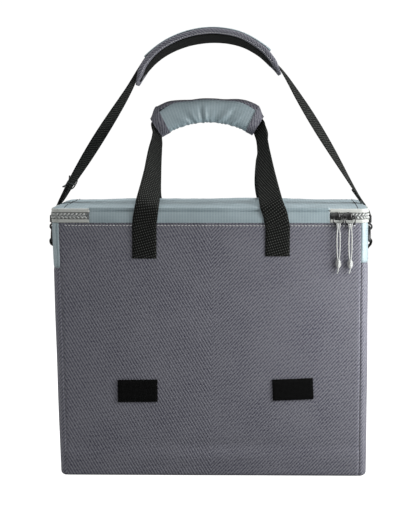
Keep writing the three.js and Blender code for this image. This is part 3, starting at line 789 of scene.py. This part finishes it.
def teeth(name, level, lean, body, paint, pitch=4.2 * MM):
    """Slanted coil loops that stand out of the groove, one row for each half of the chain."""
    path, normals, s = rim_path(ZIP_RIGHT + 2 * MM, ZIP_LEFT - 2.5 * MM, 900)
    verts, faces, uvs = [], [], []
    around, rings = 8, 6
    for k in range(int(s[-1] / pitch)):
        mid = (k + (0.25 if lean > 0 else 0.75)) * pitch
        centre = np.array([np.interp(mid, s, path[:, 0]), np.interp(mid, s, path[:, 1]), level])
        out = unit(np.array([np.interp(mid, s, normals[:, 0]), np.interp(mid, s, normals[:, 1]), 0.0]))
        side = np.cross((0, 0, 1.0), out)
        axis = unit(side + np.array([0, 0, 0.85 * lean]))
        second = np.cross(out, axis)
        first = len(verts)
        for i in range(rings):
            t = i / (rings - 1) * 2 - 1
            swell = math.sqrt(max(0.08, 1 - t * t))
            middle = centre + axis * t * 2.2 * MM + out * 0.9 * MM
            for j in range(around):
                turn = 2 * math.pi * j / around
                verts.append(middle + swell * (second * math.cos(turn) + out * math.sin(turn)) * 1.05 * MM)
                uvs.append((mid + t * MM, turn * MM))
        for i in range(rings - 1):
            for j in range(around):
                n = (j + 1) % around
                faces.append((first + i * around + j, first + i * around + n,
                              first + (i + 1) * around + n, first + (i + 1) * around + j))
        faces.append(tuple(first + j for j in reversed(range(around))))
        faces.append(tuple(first + (rings - 1) * around + j for j in range(around)))
    verts = settle(np.array(verts))
    made = add_object(name, verts, faces, uvs, paint["zip_chain"])
    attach(made, body)
    return made


def make_zip(paint):
    """Tapes that stand out at their edges, a groove whose darker grey is painted shade, and the two rows of
    teeth in it.
    """
    z = {name: (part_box(name)[0].z / MM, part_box(name)[1].z / MM)
         for name in ("zip_tape_lower", "zip_chain_lower", "zip_chain_upper", "zip_tape_upper")}
    low, high = z["zip_tape_lower"]
    lower_tape = [(0.0, low - 0.5), (0.9, low - 0.3), (1.2, low + 1.2), (1.1, high - 0.8), (1.3, high + 0.3),
                  (0.5, high + 0.8), (0.0, high + 0.6), (-0.8, high), (-0.8, low)]
    made = rim("lower_tape", lower_tape, paint["zip_tape"], "bag")
    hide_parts("zip_tape_lower")
    low, high = z["zip_tape_upper"]
    upper_tape = [(0.0, low - 0.4), (0.5, low - 0.6), (1.3, low), (1.1, low + 1.0), (1.2, low + 2.6),
                  (0.9, high + 0.5), (0.2, high + 0.8), (-0.8, high), (-0.8, low)]
    made = rim("upper_tape", upper_tape, paint["zip_tape"], "lid")
    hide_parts("zip_tape_upper")
    for name, body, node, level, lean in (("lower", "bag", "zip_chain_lower", -1.75, -1),
                                          ("upper", "lid", "zip_chain_upper", 2.0, 1)):
        low, high = z[node]
        # the groove strip, darker grey as painted shade behind the teeth
        rim(f"{name}_groove", [(-0.5, low), (0.1, low), (0.1, high), (-0.5, high)], paint["groove"],
            body)
        row = teeth(f"{name}_teeth", ZIP_Z + level * MM, lean, body, paint)
        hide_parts(node)
        edge = high if lean > 0 else low
        # A near-black line along each chain's outer edge: painted shade where chain and tape meet.
        rim(f"{name}_line", [(0.9, edge - 0.2), (1.45, edge - 0.2), (1.45, edge + 0.4), (0.9, edge + 0.4)],
            paint["zip_join_painted_shade"], body)


def make_hinge_band(paint):
    """The cloth that joins lid and bag between the zip ends, with a crease under the lid's edge."""
    z = np.linspace(SEAM_Z - 0.5 * MM, LID_Z + 1.6 * MM, 34)[:, None]
    x = np.linspace(ZIP_LEFT - 0.6 * MM, ZIP_RIGHT + 0.6 * MM, 160)[None, :]
    points = np.stack(np.broadcast_arrays(x, -HALF_D + 0 * x, z), -1).copy()
    crease_z = LID_Z - 2.1 * MM
    share = np.clip((z - z[0]) / (crease_z - z[0]), 0, 1)
    puff = 1.5 * MM * np.sin(math.pi * share) ** 0.7 + 0.4 * MM * soft_noise(points, 26.0)
    lip = 1.1 * MM * smoothstep(crease_z, crease_z + 1.2 * MM, z)
    depth = 1.3 * MM + 0.9 * MM * soft_noise(points, 30.0, 5.0)
    crease = depth * np.exp(-((z - crease_z) / (0.55 * MM)) ** 2) * smoothstep(0, 12 * MM, x - ZIP_LEFT)
    points[..., 1] = -HALF_D - 0.5 * MM - puff - lip + crease
    made = cloth_patch("hinge_fabric", points, x + 0 * z, z + 0 * x, paint["ripstop"])
    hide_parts("hinge_band")
    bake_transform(made)


def make_lid(paint):
    rows, columns = 110, 150
    v = np.linspace(-1, 1, rows)[:, None]
    u = np.linspace(-1, 1, columns)[None, :]
    v = 0.75 * v + 0.25 * np.sin(v * math.pi / 2)
    u = 0.75 * u + 0.25 * np.sin(u * math.pi / 2)
    grow = 0.9 * MM
    y = v * (HALF_D + grow)
    x = u * (side_bulge(np.clip(y, -HALF_D, HALF_D)) + grow)
    to_edge = np.minimum((1 - np.abs(u)) * HALF_W, (1 - np.abs(v)) * HALF_D)
    dome = (1 - u ** 2) * (1 - v ** 2)
    base = np.stack([x, y + 0 * x, 0 * x], -1)
    slanted = base + base[..., [1, 0, 2]] * (0.25, -0.22, 0)
    long_fold = soft_noise(slanted * (6.0, 30.0, 1.0), 1.0, 4.0)
    crinkle = 1 - 2 * np.abs(soft_noise(slanted * (11.0, 60.0, 1.0), 1.0, 8.0)) ** 0.7
    wrinkle = (2.2 * long_fold + 1.5 * crinkle) * MM * smoothstep(0, 14 * MM, to_edge)
    wrinkle = np.maximum(wrinkle, -0.5 * MM + 0.1 * wrinkle)
    seam_x = HALF_W - LID_SEAM_IN
    seam = 0.5 * MM * np.exp(-((np.abs(x) - seam_x) / (0.9 * MM)) ** 2)
    droop = 2.0 * MM * (1 - smoothstep(0, 4.0 * MM, to_edge)) ** 1.5
    z = LID_Z + LID_SKIN_UP + CROWN * dome + wrinkle - seam - droop
    points = settle(np.stack(np.broadcast_arrays(x, y, z), -1).copy())
    made = cloth_patch("lid_skin", points, x, y + 0 * x, paint["ripstop"])
    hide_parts("lid_panel")
    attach(made, "lid")
    for side, end in ((-1, "left"), (1, "right")):
        path = np.array([[np.interp(side * seam_x, row[:, 0], row[:, axis]) for axis in range(3)]
                         for row in points[2:-2]])
        path[:, 2] += 0.35 * MM
        line = round_tube(f"lid_seam_{end}", path, 0.45 * MM, paint["thread_dark"], 6)
        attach(line, "lid")


# ---------------------------------------------------------------- sliders and pulls

def make_pulls(paint):
    for k in (1, 2):
        low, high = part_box(f"pull_ring_{k}")
        centre = (low + high) / 2
        make_pull(k, centre, (high.x - low.x) / 2, paint)
        make_slider(k, centre.x, high.z, paint)


def rounded_box(name, low, high, radius, material, taper=1.0):
    """A block with rounded edges, drawn in along X by taper at its low end."""
    bm = bmesh.new()
    bmesh.ops.create_cube(bm, size=1)
    for vert in bm.verts:
        place = [(low[i] + high[i]) / 2 + vert.co[i] * (high[i] - low[i]) for i in range(3)]
        middle = (low[2] + high[2]) / 2
        place[2] = middle + (place[2] - middle) * (taper + (1 - taper) * (vert.co.x + 0.5))
        vert.co = place
    bmesh.ops.bevel(bm, geom=bm.edges[:], offset=radius, segments=3, affect="EDGES", profile=0.5)
    mesh = bpy.data.meshes.new(name)
    bm.to_mesh(mesh)
    bm.free()
    mesh.polygons.foreach_set("use_smooth", [True] * len(mesh.polygons))
    mesh.materials.append(material)
    made = bpy.data.objects.new(name, mesh)
    bpy.context.scene.collection.objects.link(made)
    return made


def make_slider(k, bail_x, ring_top, paint):
    """A shield-shaped body with flanges over the chain and an arched bail round the ring."""
    low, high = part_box(f"slider_{k}")
    middle = (low.z + high.z) / 2
    metal = paint["slider"]
    back = high.y
    parts = [rounded_box("body", (low.x, back - 1.8 * MM, low.z), (high.x, back + 0.4 * MM, high.z),
                         0.7 * MM, metal, 0.62)]
    for sign in (-1, 1):
        edge = middle + sign * 4.1 * MM
        corner = (low.x + 6 * MM, back - 0.6 * MM, edge - 0.7 * MM)
        opposite = (high.x - 0.3 * MM, back + 1.2 * MM, edge + 0.7 * MM)
        parts.append(rounded_box("flange", corner, opposite, 0.4 * MM, metal))
    front = low.y + 0.5 * MM
    foot = back - 1.2 * MM
    top = ring_top + 2.2 * MM
    arch = smooth_path([(bail_x, foot, top - 7.6 * MM), (bail_x, front + 0.6 * MM, top - 6.4 * MM),
                        (bail_x, front, top - 3.4 * MM), (bail_x, front + 0.6 * MM, top - 0.6 * MM),
                        (bail_x, foot, top)], 20)
    parts.append(ribbon("bail", arch, (1, 0, 0), 3.4 * MM, 0.9 * MM, metal, 4))
    made = join(f"zip_slider_body_{k}", parts)
    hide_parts(f"slider_{k}")
    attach(made, f"zip_slider_{k}")


def make_pull(k, centre, outer, paint):
    """The wire ring, with its cord and knot."""
    steps, sides = 48, 10
    radius = outer - WIRE_R
    turns = np.linspace(0, 2 * math.pi, steps, endpoint=False)
    angles = np.linspace(0, 2 * math.pi, sides, endpoint=False)
    rings = []
    for t in turns:
        out = np.array([math.cos(t), 0, math.sin(t)])
        mid = np.array(centre) + out * radius
        rings.append([mid + WIRE_R * (out * math.cos(a) + np.array([0, math.sin(a), 0])) for a in angles])
    faces = grid_faces(steps, sides, wrap=True)
    last = (steps - 1) * sides
    faces += [(last + c, last + (c + 1) % sides, (c + 1) % sides, c) for c in range(sides)]
    uvs = np.zeros((steps * sides, 2))
    verts = np.array(rings).reshape(-1, 3)
    ring = add_object(f"wire_ring_{k}", verts, faces, uvs, paint["slider"])
    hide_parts(f"pull_ring_{k}")
    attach(ring, f"pull_{k}")
    make_cord(k, centre, radius, paint)


def make_cord(k, centre, radius, paint):
    """Doubled cord over the ring, tied in a knot with a short tail."""
    x, y, z = centre.x, centre.y, centre.z - radius
    side = WIRE_R + CORD_R + 0.3 * MM
    low = z - CORD_DROP
    route = [(-0.9, -0.8, low), (-1.7, -1.2, low + 9 * MM), (-1.7, -1.4, z - 10 * MM),
             (-0.9, -side / MM, z - 3 * MM), (-0.4, -side / MM, z), (0, 0, z + side), (0.4, side / MM, z),
             (0.9, side / MM, z - 3 * MM), (1.7, 1.0, z - 10 * MM), (1.7, 1.0, low + 9 * MM),
             (0.9, 0.8, low)]
    path = smooth_path([(x + a * MM, y + b * MM, c) for a, b, c in route], 90)
    cord = round_tube(f"doubled_cord_{k}", path, CORD_R, paint["cord"], 12)
    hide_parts(f"pull_cord_{k}")
    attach(cord, f"pull_{k}")
    knot = make_knot(k, Vector((x, y, low - 5.9 * MM)), paint)
    hitch = make_hitch(k, Vector((x, y, z)), side, paint)


def make_hitch(k, ring_low, side, paint):
    """The cord's own turns round the ring's wire, beside the loop."""
    parts = []
    for sign in (-1, 1):
        turn = np.linspace(-0.4 * math.pi, 1.5 * math.pi, 22)
        reach = side * 0.95
        x = ring_low.x + sign * (1.5 + 0.5 * np.cos(turn)) * MM
        y = ring_low.y - reach * np.sin(turn)
        z = ring_low.z - 1.4 * MM + 1.9 * reach * np.cos(turn)
        loop = np.stack([x, y, z], 1)
        parts.append(round_tube("turn", loop, 0.8 * MM, paint["cord"], 10))
    made = join(f"cord_hitch_{k}", parts)
    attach(made, f"pull_{k}")
    return made


def make_knot(k, middle, paint):
    """An overhand knot: two crossing turns, and the tail below."""
    t = np.linspace(0, 2 * math.pi, 60)
    x = (1.3 * np.sin(t) + 1.3 * np.sin(2 * t)) * MM
    y = (1.3 * np.cos(t) - 1.2 * np.cos(2 * t)) * MM
    z = -2.9 * np.sin(3 * t) * MM
    loop = np.stack([middle.x + x, middle.y + y, middle.z + z], 1)
    turns = round_tube("turns", loop, 1.15 * MM, paint["cord"], 10)
    heart = round_tube("heart", smooth_path([(middle.x, middle.y, middle.z + 5.4 * MM), tuple(middle),
                                             (middle.x, middle.y, middle.z - 5.4 * MM)], 12),
                       2.0 * MM, paint["cord"], 12)
    tail_path = smooth_path([(middle.x + 0.4 * MM, middle.y, middle.z - 4 * MM),
                             (middle.x - 0.3 * MM, middle.y, middle.z - 8 * MM),
                             (middle.x - 1.4 * MM, middle.y, middle.z - 12 * MM)], 12)
    tail = round_tube("tail", tail_path, CORD_R, paint["cord"], 10)
    made = join(f"tied_knot_{k}", [turns, heart, tail])
    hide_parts(f"pull_knot_{k}")
    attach(made, f"pull_{k}")
    return made


# ---------------------------------------------------------------- handles and grip

def leg_shift(end, side, z):
    """How far a leg stands to the right of its drawn place at height z."""
    if side > 0:
        lean = smoothstep(318, 345, z) * (1 - smoothstep(393, 424, z))
        return FAR_SHIFT * (1 - smoothstep(320, 410, z)) + FAR_LEAN * lean
    if end > 0:
        return NEAR_RIGHT_LEAN * smoothstep(321, 338, z)
    return 0


def handle_leg(end, side):
    """One leg of a handle from its sewn foot up to the wrap."""
    points = []
    for x, out, z in LEG:
        climb = max(0, (z - LEG_FREE) / (LEG_TOP - LEG_FREE))
        inwards = -RIGHT_LEG_IN - RIGHT_LEG_LEAN * climb if end > 0 else LEFT_LEG_LEAN * climb
        raised = 0
        if end > 0 and z < LEG_SEWN:
            inwards += RIGHT_LEG_IN
            raised = RIGHT_FOOT_UP if z == LEG[0][2] else 0
        shift = leg_shift(end, side, z)
        points.append((end * (x + inwards) * MM + shift, side * out * MM, (z + raised) * MM))
    return points


def handle_ribbon(side):
    """Centre line and width direction of a handle, from sewn end to sewn end."""
    angles = np.radians(ARCH_AT)
    high = GRIP_TOP - GRIP_ARC * (1 - np.cos(angles))
    arch = [(GRIP_X + GRIP_ARC * math.sin(a), side * ARCH_OUT, h) for a, h in zip(angles, high)]
    enter = (MOUTH_LEFT, side * MOUTH_OUT, MOUTH_Z)
    leave = (MOUTH_RIGHT, side * MOUTH_OUT, MOUTH_Z)
    path = smooth_path(handle_leg(-1, side) + [enter] + arch + [leave] + handle_leg(1, side)[::-1], 300)
    x, z = path[:, 0], path[:, 2] / MM
    climb = np.clip((z - TURN_FROM) / (TURN_TO - TURN_FROM), 0, 1)
    lean = np.radians(EDGE_ON) * (1 - (1 - climb) ** 1.7)
    slope = np.abs(np.arctan2(x - GRIP_X, path[:, 2] - GRIP_TOP + GRIP_ARC))
    inside = np.clip((z - 416) / 14, 0, 1)
    turn = lean + (math.pi / 2 - slope - lean) * inside
    sense = np.where(np.arange(len(path)) < len(path) / 2, 1, -1)
    wish = np.stack([sense * np.cos(turn), 0 * turn, -np.sin(turn)], 1)
    return path, wish, WEB * (1 - 0.36 * climb ** 1.4)


def make_handles(paint):
    for side, name in ((-1, "near"), (1, "far")):
        path, wish, wide = handle_ribbon(side)
        bow = 1.6 * MM * np.clip((path[:, 2] / MM - 330) / 90, 0, 1)
        band = ribbon(f"{name}_webbing", path, wish, wide, HANDLE_THICK, paint["webbing"], 12, bow)
        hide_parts(f"{name}_handle", f"{name}_sewn_left", f"{name}_sewn_right")
        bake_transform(band)
        for end in ("left", "right"):
            low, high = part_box(f"{name}_sewn_{end}")
            made = box_stitch(f"{name}_stitch_{end}", (low.x + high.x) / 2, side, paint)
            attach(made, "bag")


def box_stitch(name, x, side, paint):
    """The rows of stitching across a sewn webbing end."""
    y = side * (HALF_D + 2.75 * MM)
    parts = []
    for z in (271 * MM, 307.5 * MM):
        line = np.stack([np.linspace(x - 12 * MM, x + 12 * MM, 24), np.full(24, y), np.full(24, z)], 1)
        parts.append(stitches("row", line, (0, side, 0), paint["thread_dark"],
                              2.6 * MM, 0.7, 0.3 * MM))
    return join(name, parts)


def grip_skin(name, sector, along, grow, material, thick, body, shift, spread=((0, 0), (0, 0))):
    """Part of the wrap's skin: a sector of its section, in degrees from +Y, over part of its length.

    shift gives the folds. spread lowers the first and last edges toward the wrap's left and right ends,
    also in degrees.
    """
    rows, columns = 120, 64
    share = np.linspace(along[0], along[1], rows)[:, None]
    arch = np.radians(GRIP_LEFT + (GRIP_RIGHT - GRIP_LEFT) * (share + 1) / 2)
    out = np.abs(share)
    to_left, to_right = smoothstep(0.15, 1.0, -share), smoothstep(0.15, 1.0, share)
    first, last = [edge + lower[0] * to_left + lower[1] * to_right for edge, lower in zip(sector, spread)]
    angle = np.radians(first + (last - first) * np.linspace(0, 1, columns)[None, :])
    c, s = np.cos(angle), np.sin(angle)
    fuller = 1 + 0.38 * smoothstep(0.2, 0.66, out) - 0.62 * smoothstep(0.80, 1.0, out)
    narrower = 1 - 0.15 * smoothstep(0.85, 1.0, out)
    across = np.sign(c) * np.abs(c) ** GRIP_SQUARE * (GRIP_WIDE * narrower + grow)
    up = np.sign(s) * np.abs(s) ** GRIP_SQUARE * (np.where(s > 0, GRIP_HIGH * fuller, GRIP_LOW) + grow)
    fold_across, fold_up = shift(share, np.degrees(angle))
    across = across + fold_across
    up = up + fold_up
    points = np.stack(np.broadcast_arrays(GRIP_X + (GRIP_ARC + up) * np.sin(arch), across,
                                          GRIP_TOP - GRIP_ARC + (GRIP_ARC + up) * np.cos(arch)), -1)
    section = np.linspace(sector[0], sector[1], columns)[None, :] * 0.26 * MM
    made = cloth_patch(name, points, GRIP_ARC * arch + 0 * section, section + 0 * arch, material, thick)
    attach(made, body)
    return made


def gathers(share, degrees):
    """Folds that fan down from the top and gather along the free lower edge."""
    low = smoothstep(214, 248, degrees)
    body = smoothstep(140, 205, degrees)
    middle = np.exp(-((share - 0.05) / 0.55) ** 4)
    fan = share * (1 + 0.006 * (degrees - 180)) + 0.05 * np.sin(share * 9 + 1)
    fold = np.sin(fan * 21 + 1.1) + 0.6 * np.sin(fan * 37 + 2.0) + 0.4 * np.sin(fan * 11)
    edge_wave = share * 62 + 1.8 * np.sin(share * 19)
    ruffle = np.sin(edge_wave) * low
    depth = (1.2 * fold * middle + 1.5 * ruffle) * body * MM
    sag = -0.8 * (0.5 + 0.5 * np.sin(edge_wave + 1.2)) * low * MM
    return -depth, sag + 0.15 * depth


def crumple(share, degrees):
    """Slight soft dents."""
    soft = np.sin(share * 9 + 0.02 * degrees) + 0.5 * np.sin(share * 23 - 0.03 * degrees)
    return 0.2 * soft * MM, 0.12 * soft * MM + 0 * degrees


def make_grip(paint):
    """The wrap's two halves, the twill over its top edge, and the bindings at its ends."""
    front = grip_skin("wrap_front", (112, 266), (-0.97, 0.97), 0.3 * MM, paint["ripstop"],
                      1.4 * MM, "near_loop", gathers, ((38, 32), (0, 0)))
    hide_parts("grip_wrap")
    back = grip_skin("wrap_back", (-88, 86), (-0.97, 0.97), 0, paint["twill"], 1.6 * MM, "flap",
                     crumple)
    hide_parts("grip_flap")
    grip_skin("wrap_top_edge", (60, 116), (-0.99, 0.99), 0.8 * MM, paint["twill"], 1.4 * MM,
              "near_loop", crumple, ((0, 0), (25, 30)))
    for end, along in (("left", (-0.99, -0.80)), ("right", (0.83, 0.99))):
        for half, sector, grow, body in (("near", (96, 268), 1.5, "near_loop"),
                                         ("far", (-88, 84), 0.9, "flap")):
            grip_skin(f"{half}_binding_{end}", sector, along, grow * MM, paint["twill"], 1.0 * MM,
                      body, crumple)


# ---------------------------------------------------------------- shoulder strap

def strap_side_path(end):
    """From the sewn-back tail, through the hook's eye, and up to the pad."""
    low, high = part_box(f"strap_loop_{end}")
    side = 1 if end == "right" else -1
    x, eye = abs(low.x + high.x) / 2, low.z + 1.2 * MM
    leg = [(a * MM, b * MM) for a, b in LEG_LINE[end]]
    away = unit(np.array(leg[1]) - np.array(leg[0]))
    off = np.array([away[1], -away[0]]) * -2.1 * MM
    base = np.array(leg[0]) + away * 8 * MM
    tail = [tuple(base + away * t * MM + off) for t in (24, 14, 4)]
    loop = [(x - 1.3 * MM, eye + 8 * MM), (x - 1.5 * MM, eye + 2 * MM), (x, eye - 0.4 * MM),
            (x + 1.2 * MM, eye + 1.2 * MM), (x + 1.0 * MM, eye + 5 * MM)]
    return [(side * a, 0.0, b) for a, b in tail + loop + leg]


def pad_centres(count):
    return smooth_path([(x * MM, 0, z * MM) for x, z in PAD_LINE], count)


def leg_turn(end, z):
    """How far a leg's webbing is turned at each height, in radians."""
    most, lean = LEG_TURN[end]
    share = np.clip((z - STRAP_TURN_FROM) / (STRAP_TURN_TO - STRAP_TURN_FROM), 0, 1)
    return most * np.sin(math.pi * share ** lean)


def make_strap(paint):
    """One band of webbing from hook to hook over the pad, then the pad and the hardware."""
    centres = pad_centres(60)
    _, _, out = frames_on(centres, PAD_ROLL)
    over = centres + out * 5.1 * MM
    inner = [tuple(p) for p in over if -76 * MM < p[0] < 56 * MM]
    route = strap_side_path("left") + inner[::4] + strap_side_path("right")[::-1]
    path = smooth_path(route, 520)
    z = path[:, 2] / MM
    turn = np.where(path[:, 0] < 0, leg_turn("left", z), leg_turn("right", z))
    length = arc_length(path)
    from_end = np.minimum(length, length[-1] - length)
    turn = np.where(from_end < TAIL_LENGTH, 0.35 * turn, turn)
    on_pad = smoothstep(500, 520, z)
    wish = np.stack([np.sin(turn), np.cos(turn), -PAD_LEAN * on_pad], 1)
    band = ribbon("strap_webbing", path, wish, WEB, 1.8 * MM, paint["webbing"], 12)
    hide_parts("strap_leg_left", "strap_leg_right", "strap_loop_left", "strap_loop_right")
    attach(band, "strap")
    make_pad(paint)
    make_strap_hardware(paint)


def pad_shape(name, across_half, thick, offset, material, ends, bulge, crown=0, lift=0, taper=0, tip=1):
    """A soft bar of rounded section along the pad's line. crown raises its middle, lift its two
    ends, taper narrows it toward them, and tip is the share of its thickness left at the very end."""
    centres = pad_centres(120)
    length = arc_length(centres)
    keep = (length >= ends[0] * length[-1]) & (length <= ends[1] * length[-1])
    along, across, out = frames_on(centres, PAD_ROLL)
    centres, across, out, length = centres[keep], across[keep], out[keep], length[keep]
    share = (length - length[0]) / (length[-1] - length[0])
    end = np.minimum(share, 1 - share) / 0.13
    width = np.where(end < 1, 0.4 + 0.6 * np.sqrt(np.clip(end * (2 - end), 0, 1)), 1.0)
    width = width * (1 - taper * (2 * share - 1) ** 2)
    height = 0.72 + 0.28 * np.sqrt(np.clip(np.minimum(share, 1 - share) / 0.45, 0, 1))
    height = height * (tip + (1 - tip) * smoothstep(0, 0.09, np.minimum(share, 1 - share)))
    angle = np.linspace(0, 2 * math.pi, 56, endpoint=False)
    c, d = np.cos(angle), np.sin(angle)
    a = np.sign(c) * np.abs(c) ** 0.35 * across_half
    b = np.sign(d) * np.abs(d) ** 0.55 * thick / 2
    rings = (centres[:, None] + across[:, None] * (a[None, :] * width[:, None])[..., None]
             + out[:, None] * (b[None, :] * height[:, None] + offset * height[:, None]
                               + crown * (1 - (a[None, :] / across_half) ** 4)
                               + lift * np.abs(2 * share[:, None] - 1) ** 9)[..., None])
    ripple = bulge * soft_noise(rings, 60.0, 2.0)
    rings = rings + out[:, None] * ripple[..., None]
    section = arc_length(np.stack([a, b], 1))
    uvs = np.stack(np.broadcast_arrays(section[None, :], length[:, None]), -1)
    return tube_mesh(name, rings, uvs, material)


def make_pad(paint):
    body = pad_shape("pad_body", 29.5 * MM, 9.0 * MM, 0, paint["twill"], (0, 1), 0.5 * MM,
                     tip=0.35)
    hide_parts("shoulder_pad")
    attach(body, "strap")
    lining = pad_shape("pad_underside", 27.5 * MM, 2.6 * MM, -4.4 * MM, paint["lining"],
                       (0.02, 0.98), 0.2 * MM, taper=0.42, tip=0.5)
    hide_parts("pad_lining")
    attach(lining, "strap")
    cover = pad_shape("pad_cover", 25 * MM, 1.4 * MM, 4.8 * MM, paint["ripstop"],
                      (0.15, 0.87), 0.2 * MM, crown=2.0 * MM, lift=3.2 * MM)
    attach(cover, "strap")
    centres = pad_centres(120)
    _, across, out = frames_on(centres, PAD_ROLL)
    line = (centres + across * -29.9 * MM - out * 3.0 * MM)[8:-8]
    row = stitches("pad_edge_stitch", line, -across[60], paint["thread_light"],
                   3.2 * MM, 0.6, 0.3 * MM)
    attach(row, "strap")


def make_strap_hardware(paint):
    for end in ("left", "right"):
        tab = tab_webbing(end, paint)
        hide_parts(f"strap_tab_{end}")
        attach(tab, "bag")
    make_adjuster(paint)


def tab_webbing(end, paint):
    """Webbing round the D-ring's bar, sewn down to the gusset."""
    low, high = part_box(f"d_ring_{end}")
    side = 1 if end == "right" else -1
    bar = low.z + 1.8 * MM
    ring_x = abs(low.x + high.x) / 2
    flat_x = HALF_W + (4.4 * MM if end == "left" else 1.4 * MM)
    under = max(flat_x - 0.8 * MM, ring_x - 3.0 * MM)
    route = [(flat_x, bar - 26 * MM), (flat_x, bar - 12 * MM), (under, bar - 4 * MM),
             (under, bar), (ring_x, bar + 3.0 * MM), (ring_x + 3.0 * MM, bar),
             (ring_x + 2.0 * MM, bar - 5 * MM), (flat_x + 1.9 * MM, bar - 10 * MM),
             (flat_x + 1.0 * MM, bar - 16 * MM), (flat_x + 0.4 * MM, bar - 25 * MM)]
    path = smooth_path([(side * x, 0, z) for x, z in route], 70)
    return ribbon(f"tab_webbing_{end}", path, (0, 1, 0), 28 * MM, 1.9 * MM, paint["webbing"])


def make_adjuster(paint):
    """A tri-glide: a moulded frame with a middle bar, round the left leg."""
    low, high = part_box("strap_adjuster")
    leg_x, leg_z = np.array(LEG_LINE["left"]).T
    height = (low.z + high.z) / 2 + 12 * MM
    centre = np.array([-np.interp(height / MM, leg_z, leg_x) * MM, 0, height])
    leg = unit(np.array([34.0, 0, 55.5]))
    across = np.array([0.29, 0.957, 0])
    across = unit(across - leg * np.dot(across, leg))
    out = np.cross(leg, across)
    parts = []
    for t, thick, lift in ((-7.5, 0.7, 1.1), (0.0, 0.7, -1.2), (7.5, 0.7, 1.1)):
        ends = [centre + leg * t * MM + across * w * MM + out * lift * MM for w in (-17, 0, 17)]
        parts.append(round_tube("bar", smooth_path(ends, 10), thick * MM, paint["plastic"], 10))
    for w in (-17, 17):
        ends = [centre + leg * t * MM + across * w * MM + out * (1.8 if abs(t) > 4 else -0.6) * MM
                for t in (-8.6, -4, 0, 4, 8.6)]
        parts.append(round_tube("side", smooth_path(ends, 16), 0.8 * MM, paint["plastic"], 10))
    made = join("tri_glide", parts)
    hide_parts("strap_adjuster")
    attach(made, "strap")


# ---------------------------------------------------------------- patches and carried-over nodes

def make_patches(paint):
    for end in ("left", "right"):
        low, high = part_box(f"hook_patch_{end}")
        wide, tall, tilt = (50 * MM, 26 * MM, 2.5) if end == "right" else (49 * MM, 27.5 * MM, 0.6)
        middle = (low + high) / 2
        s = np.linspace(-1, 1, 60)[None, :]
        t = np.linspace(-1, 1, 34)[:, None]
        a, b = s * wide / 2, t * tall / 2
        turn = math.radians(tilt)
        points = np.zeros((34, 60, 3))
        points[..., 0] = middle.x + a * math.cos(turn) - b * math.sin(turn)
        points[..., 2] = middle.z + a * math.sin(turn) + b * math.cos(turn)
        to_edge = np.minimum((1 - np.abs(s)) * wide / 2, (1 - np.abs(t)) * tall / 2)
        pile = 0.5 * MM * smoothstep(1.4 * MM, 2.6 * MM, to_edge)
        rough = 0.25 * MM * soft_noise(points, 900.0) * smoothstep(1.4 * MM, 2.6 * MM, to_edge)
        points[..., 1] = -HALF_D - 3.1 * MM - pile - rough
        made = cloth_patch(f"hook_tape_{end}", points, a + 0 * b, b + 0 * a, paint["hook_tape"],
                           1.4 * MM)
        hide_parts(f"hook_patch_{end}")
        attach(made, "bag")


def finish_cad_nodes(paint):
    """Materials for the CAD nodes that stay: foam, liner and whatever is left showing."""
    kinds = {entry["node"]: entry["material_slot"] for entry in frame["record"]["subparts"]}
    for name, node in frame["nodes"].items():
        node.data.materials.clear()
        node.data.materials.append(paint[kinds[name]])


def main():
    make_camera()
    paint = make_materials()
    make_pulls(paint)
    make_studio()
    make_floor()
    make_bag(paint)
    make_zip(paint)
    make_hinge_band(paint)
    make_lid(paint)
    make_handles(paint)
    make_grip(paint)
    make_strap(paint)
    make_patches(paint)
    finish_cad_nodes(paint)


main()
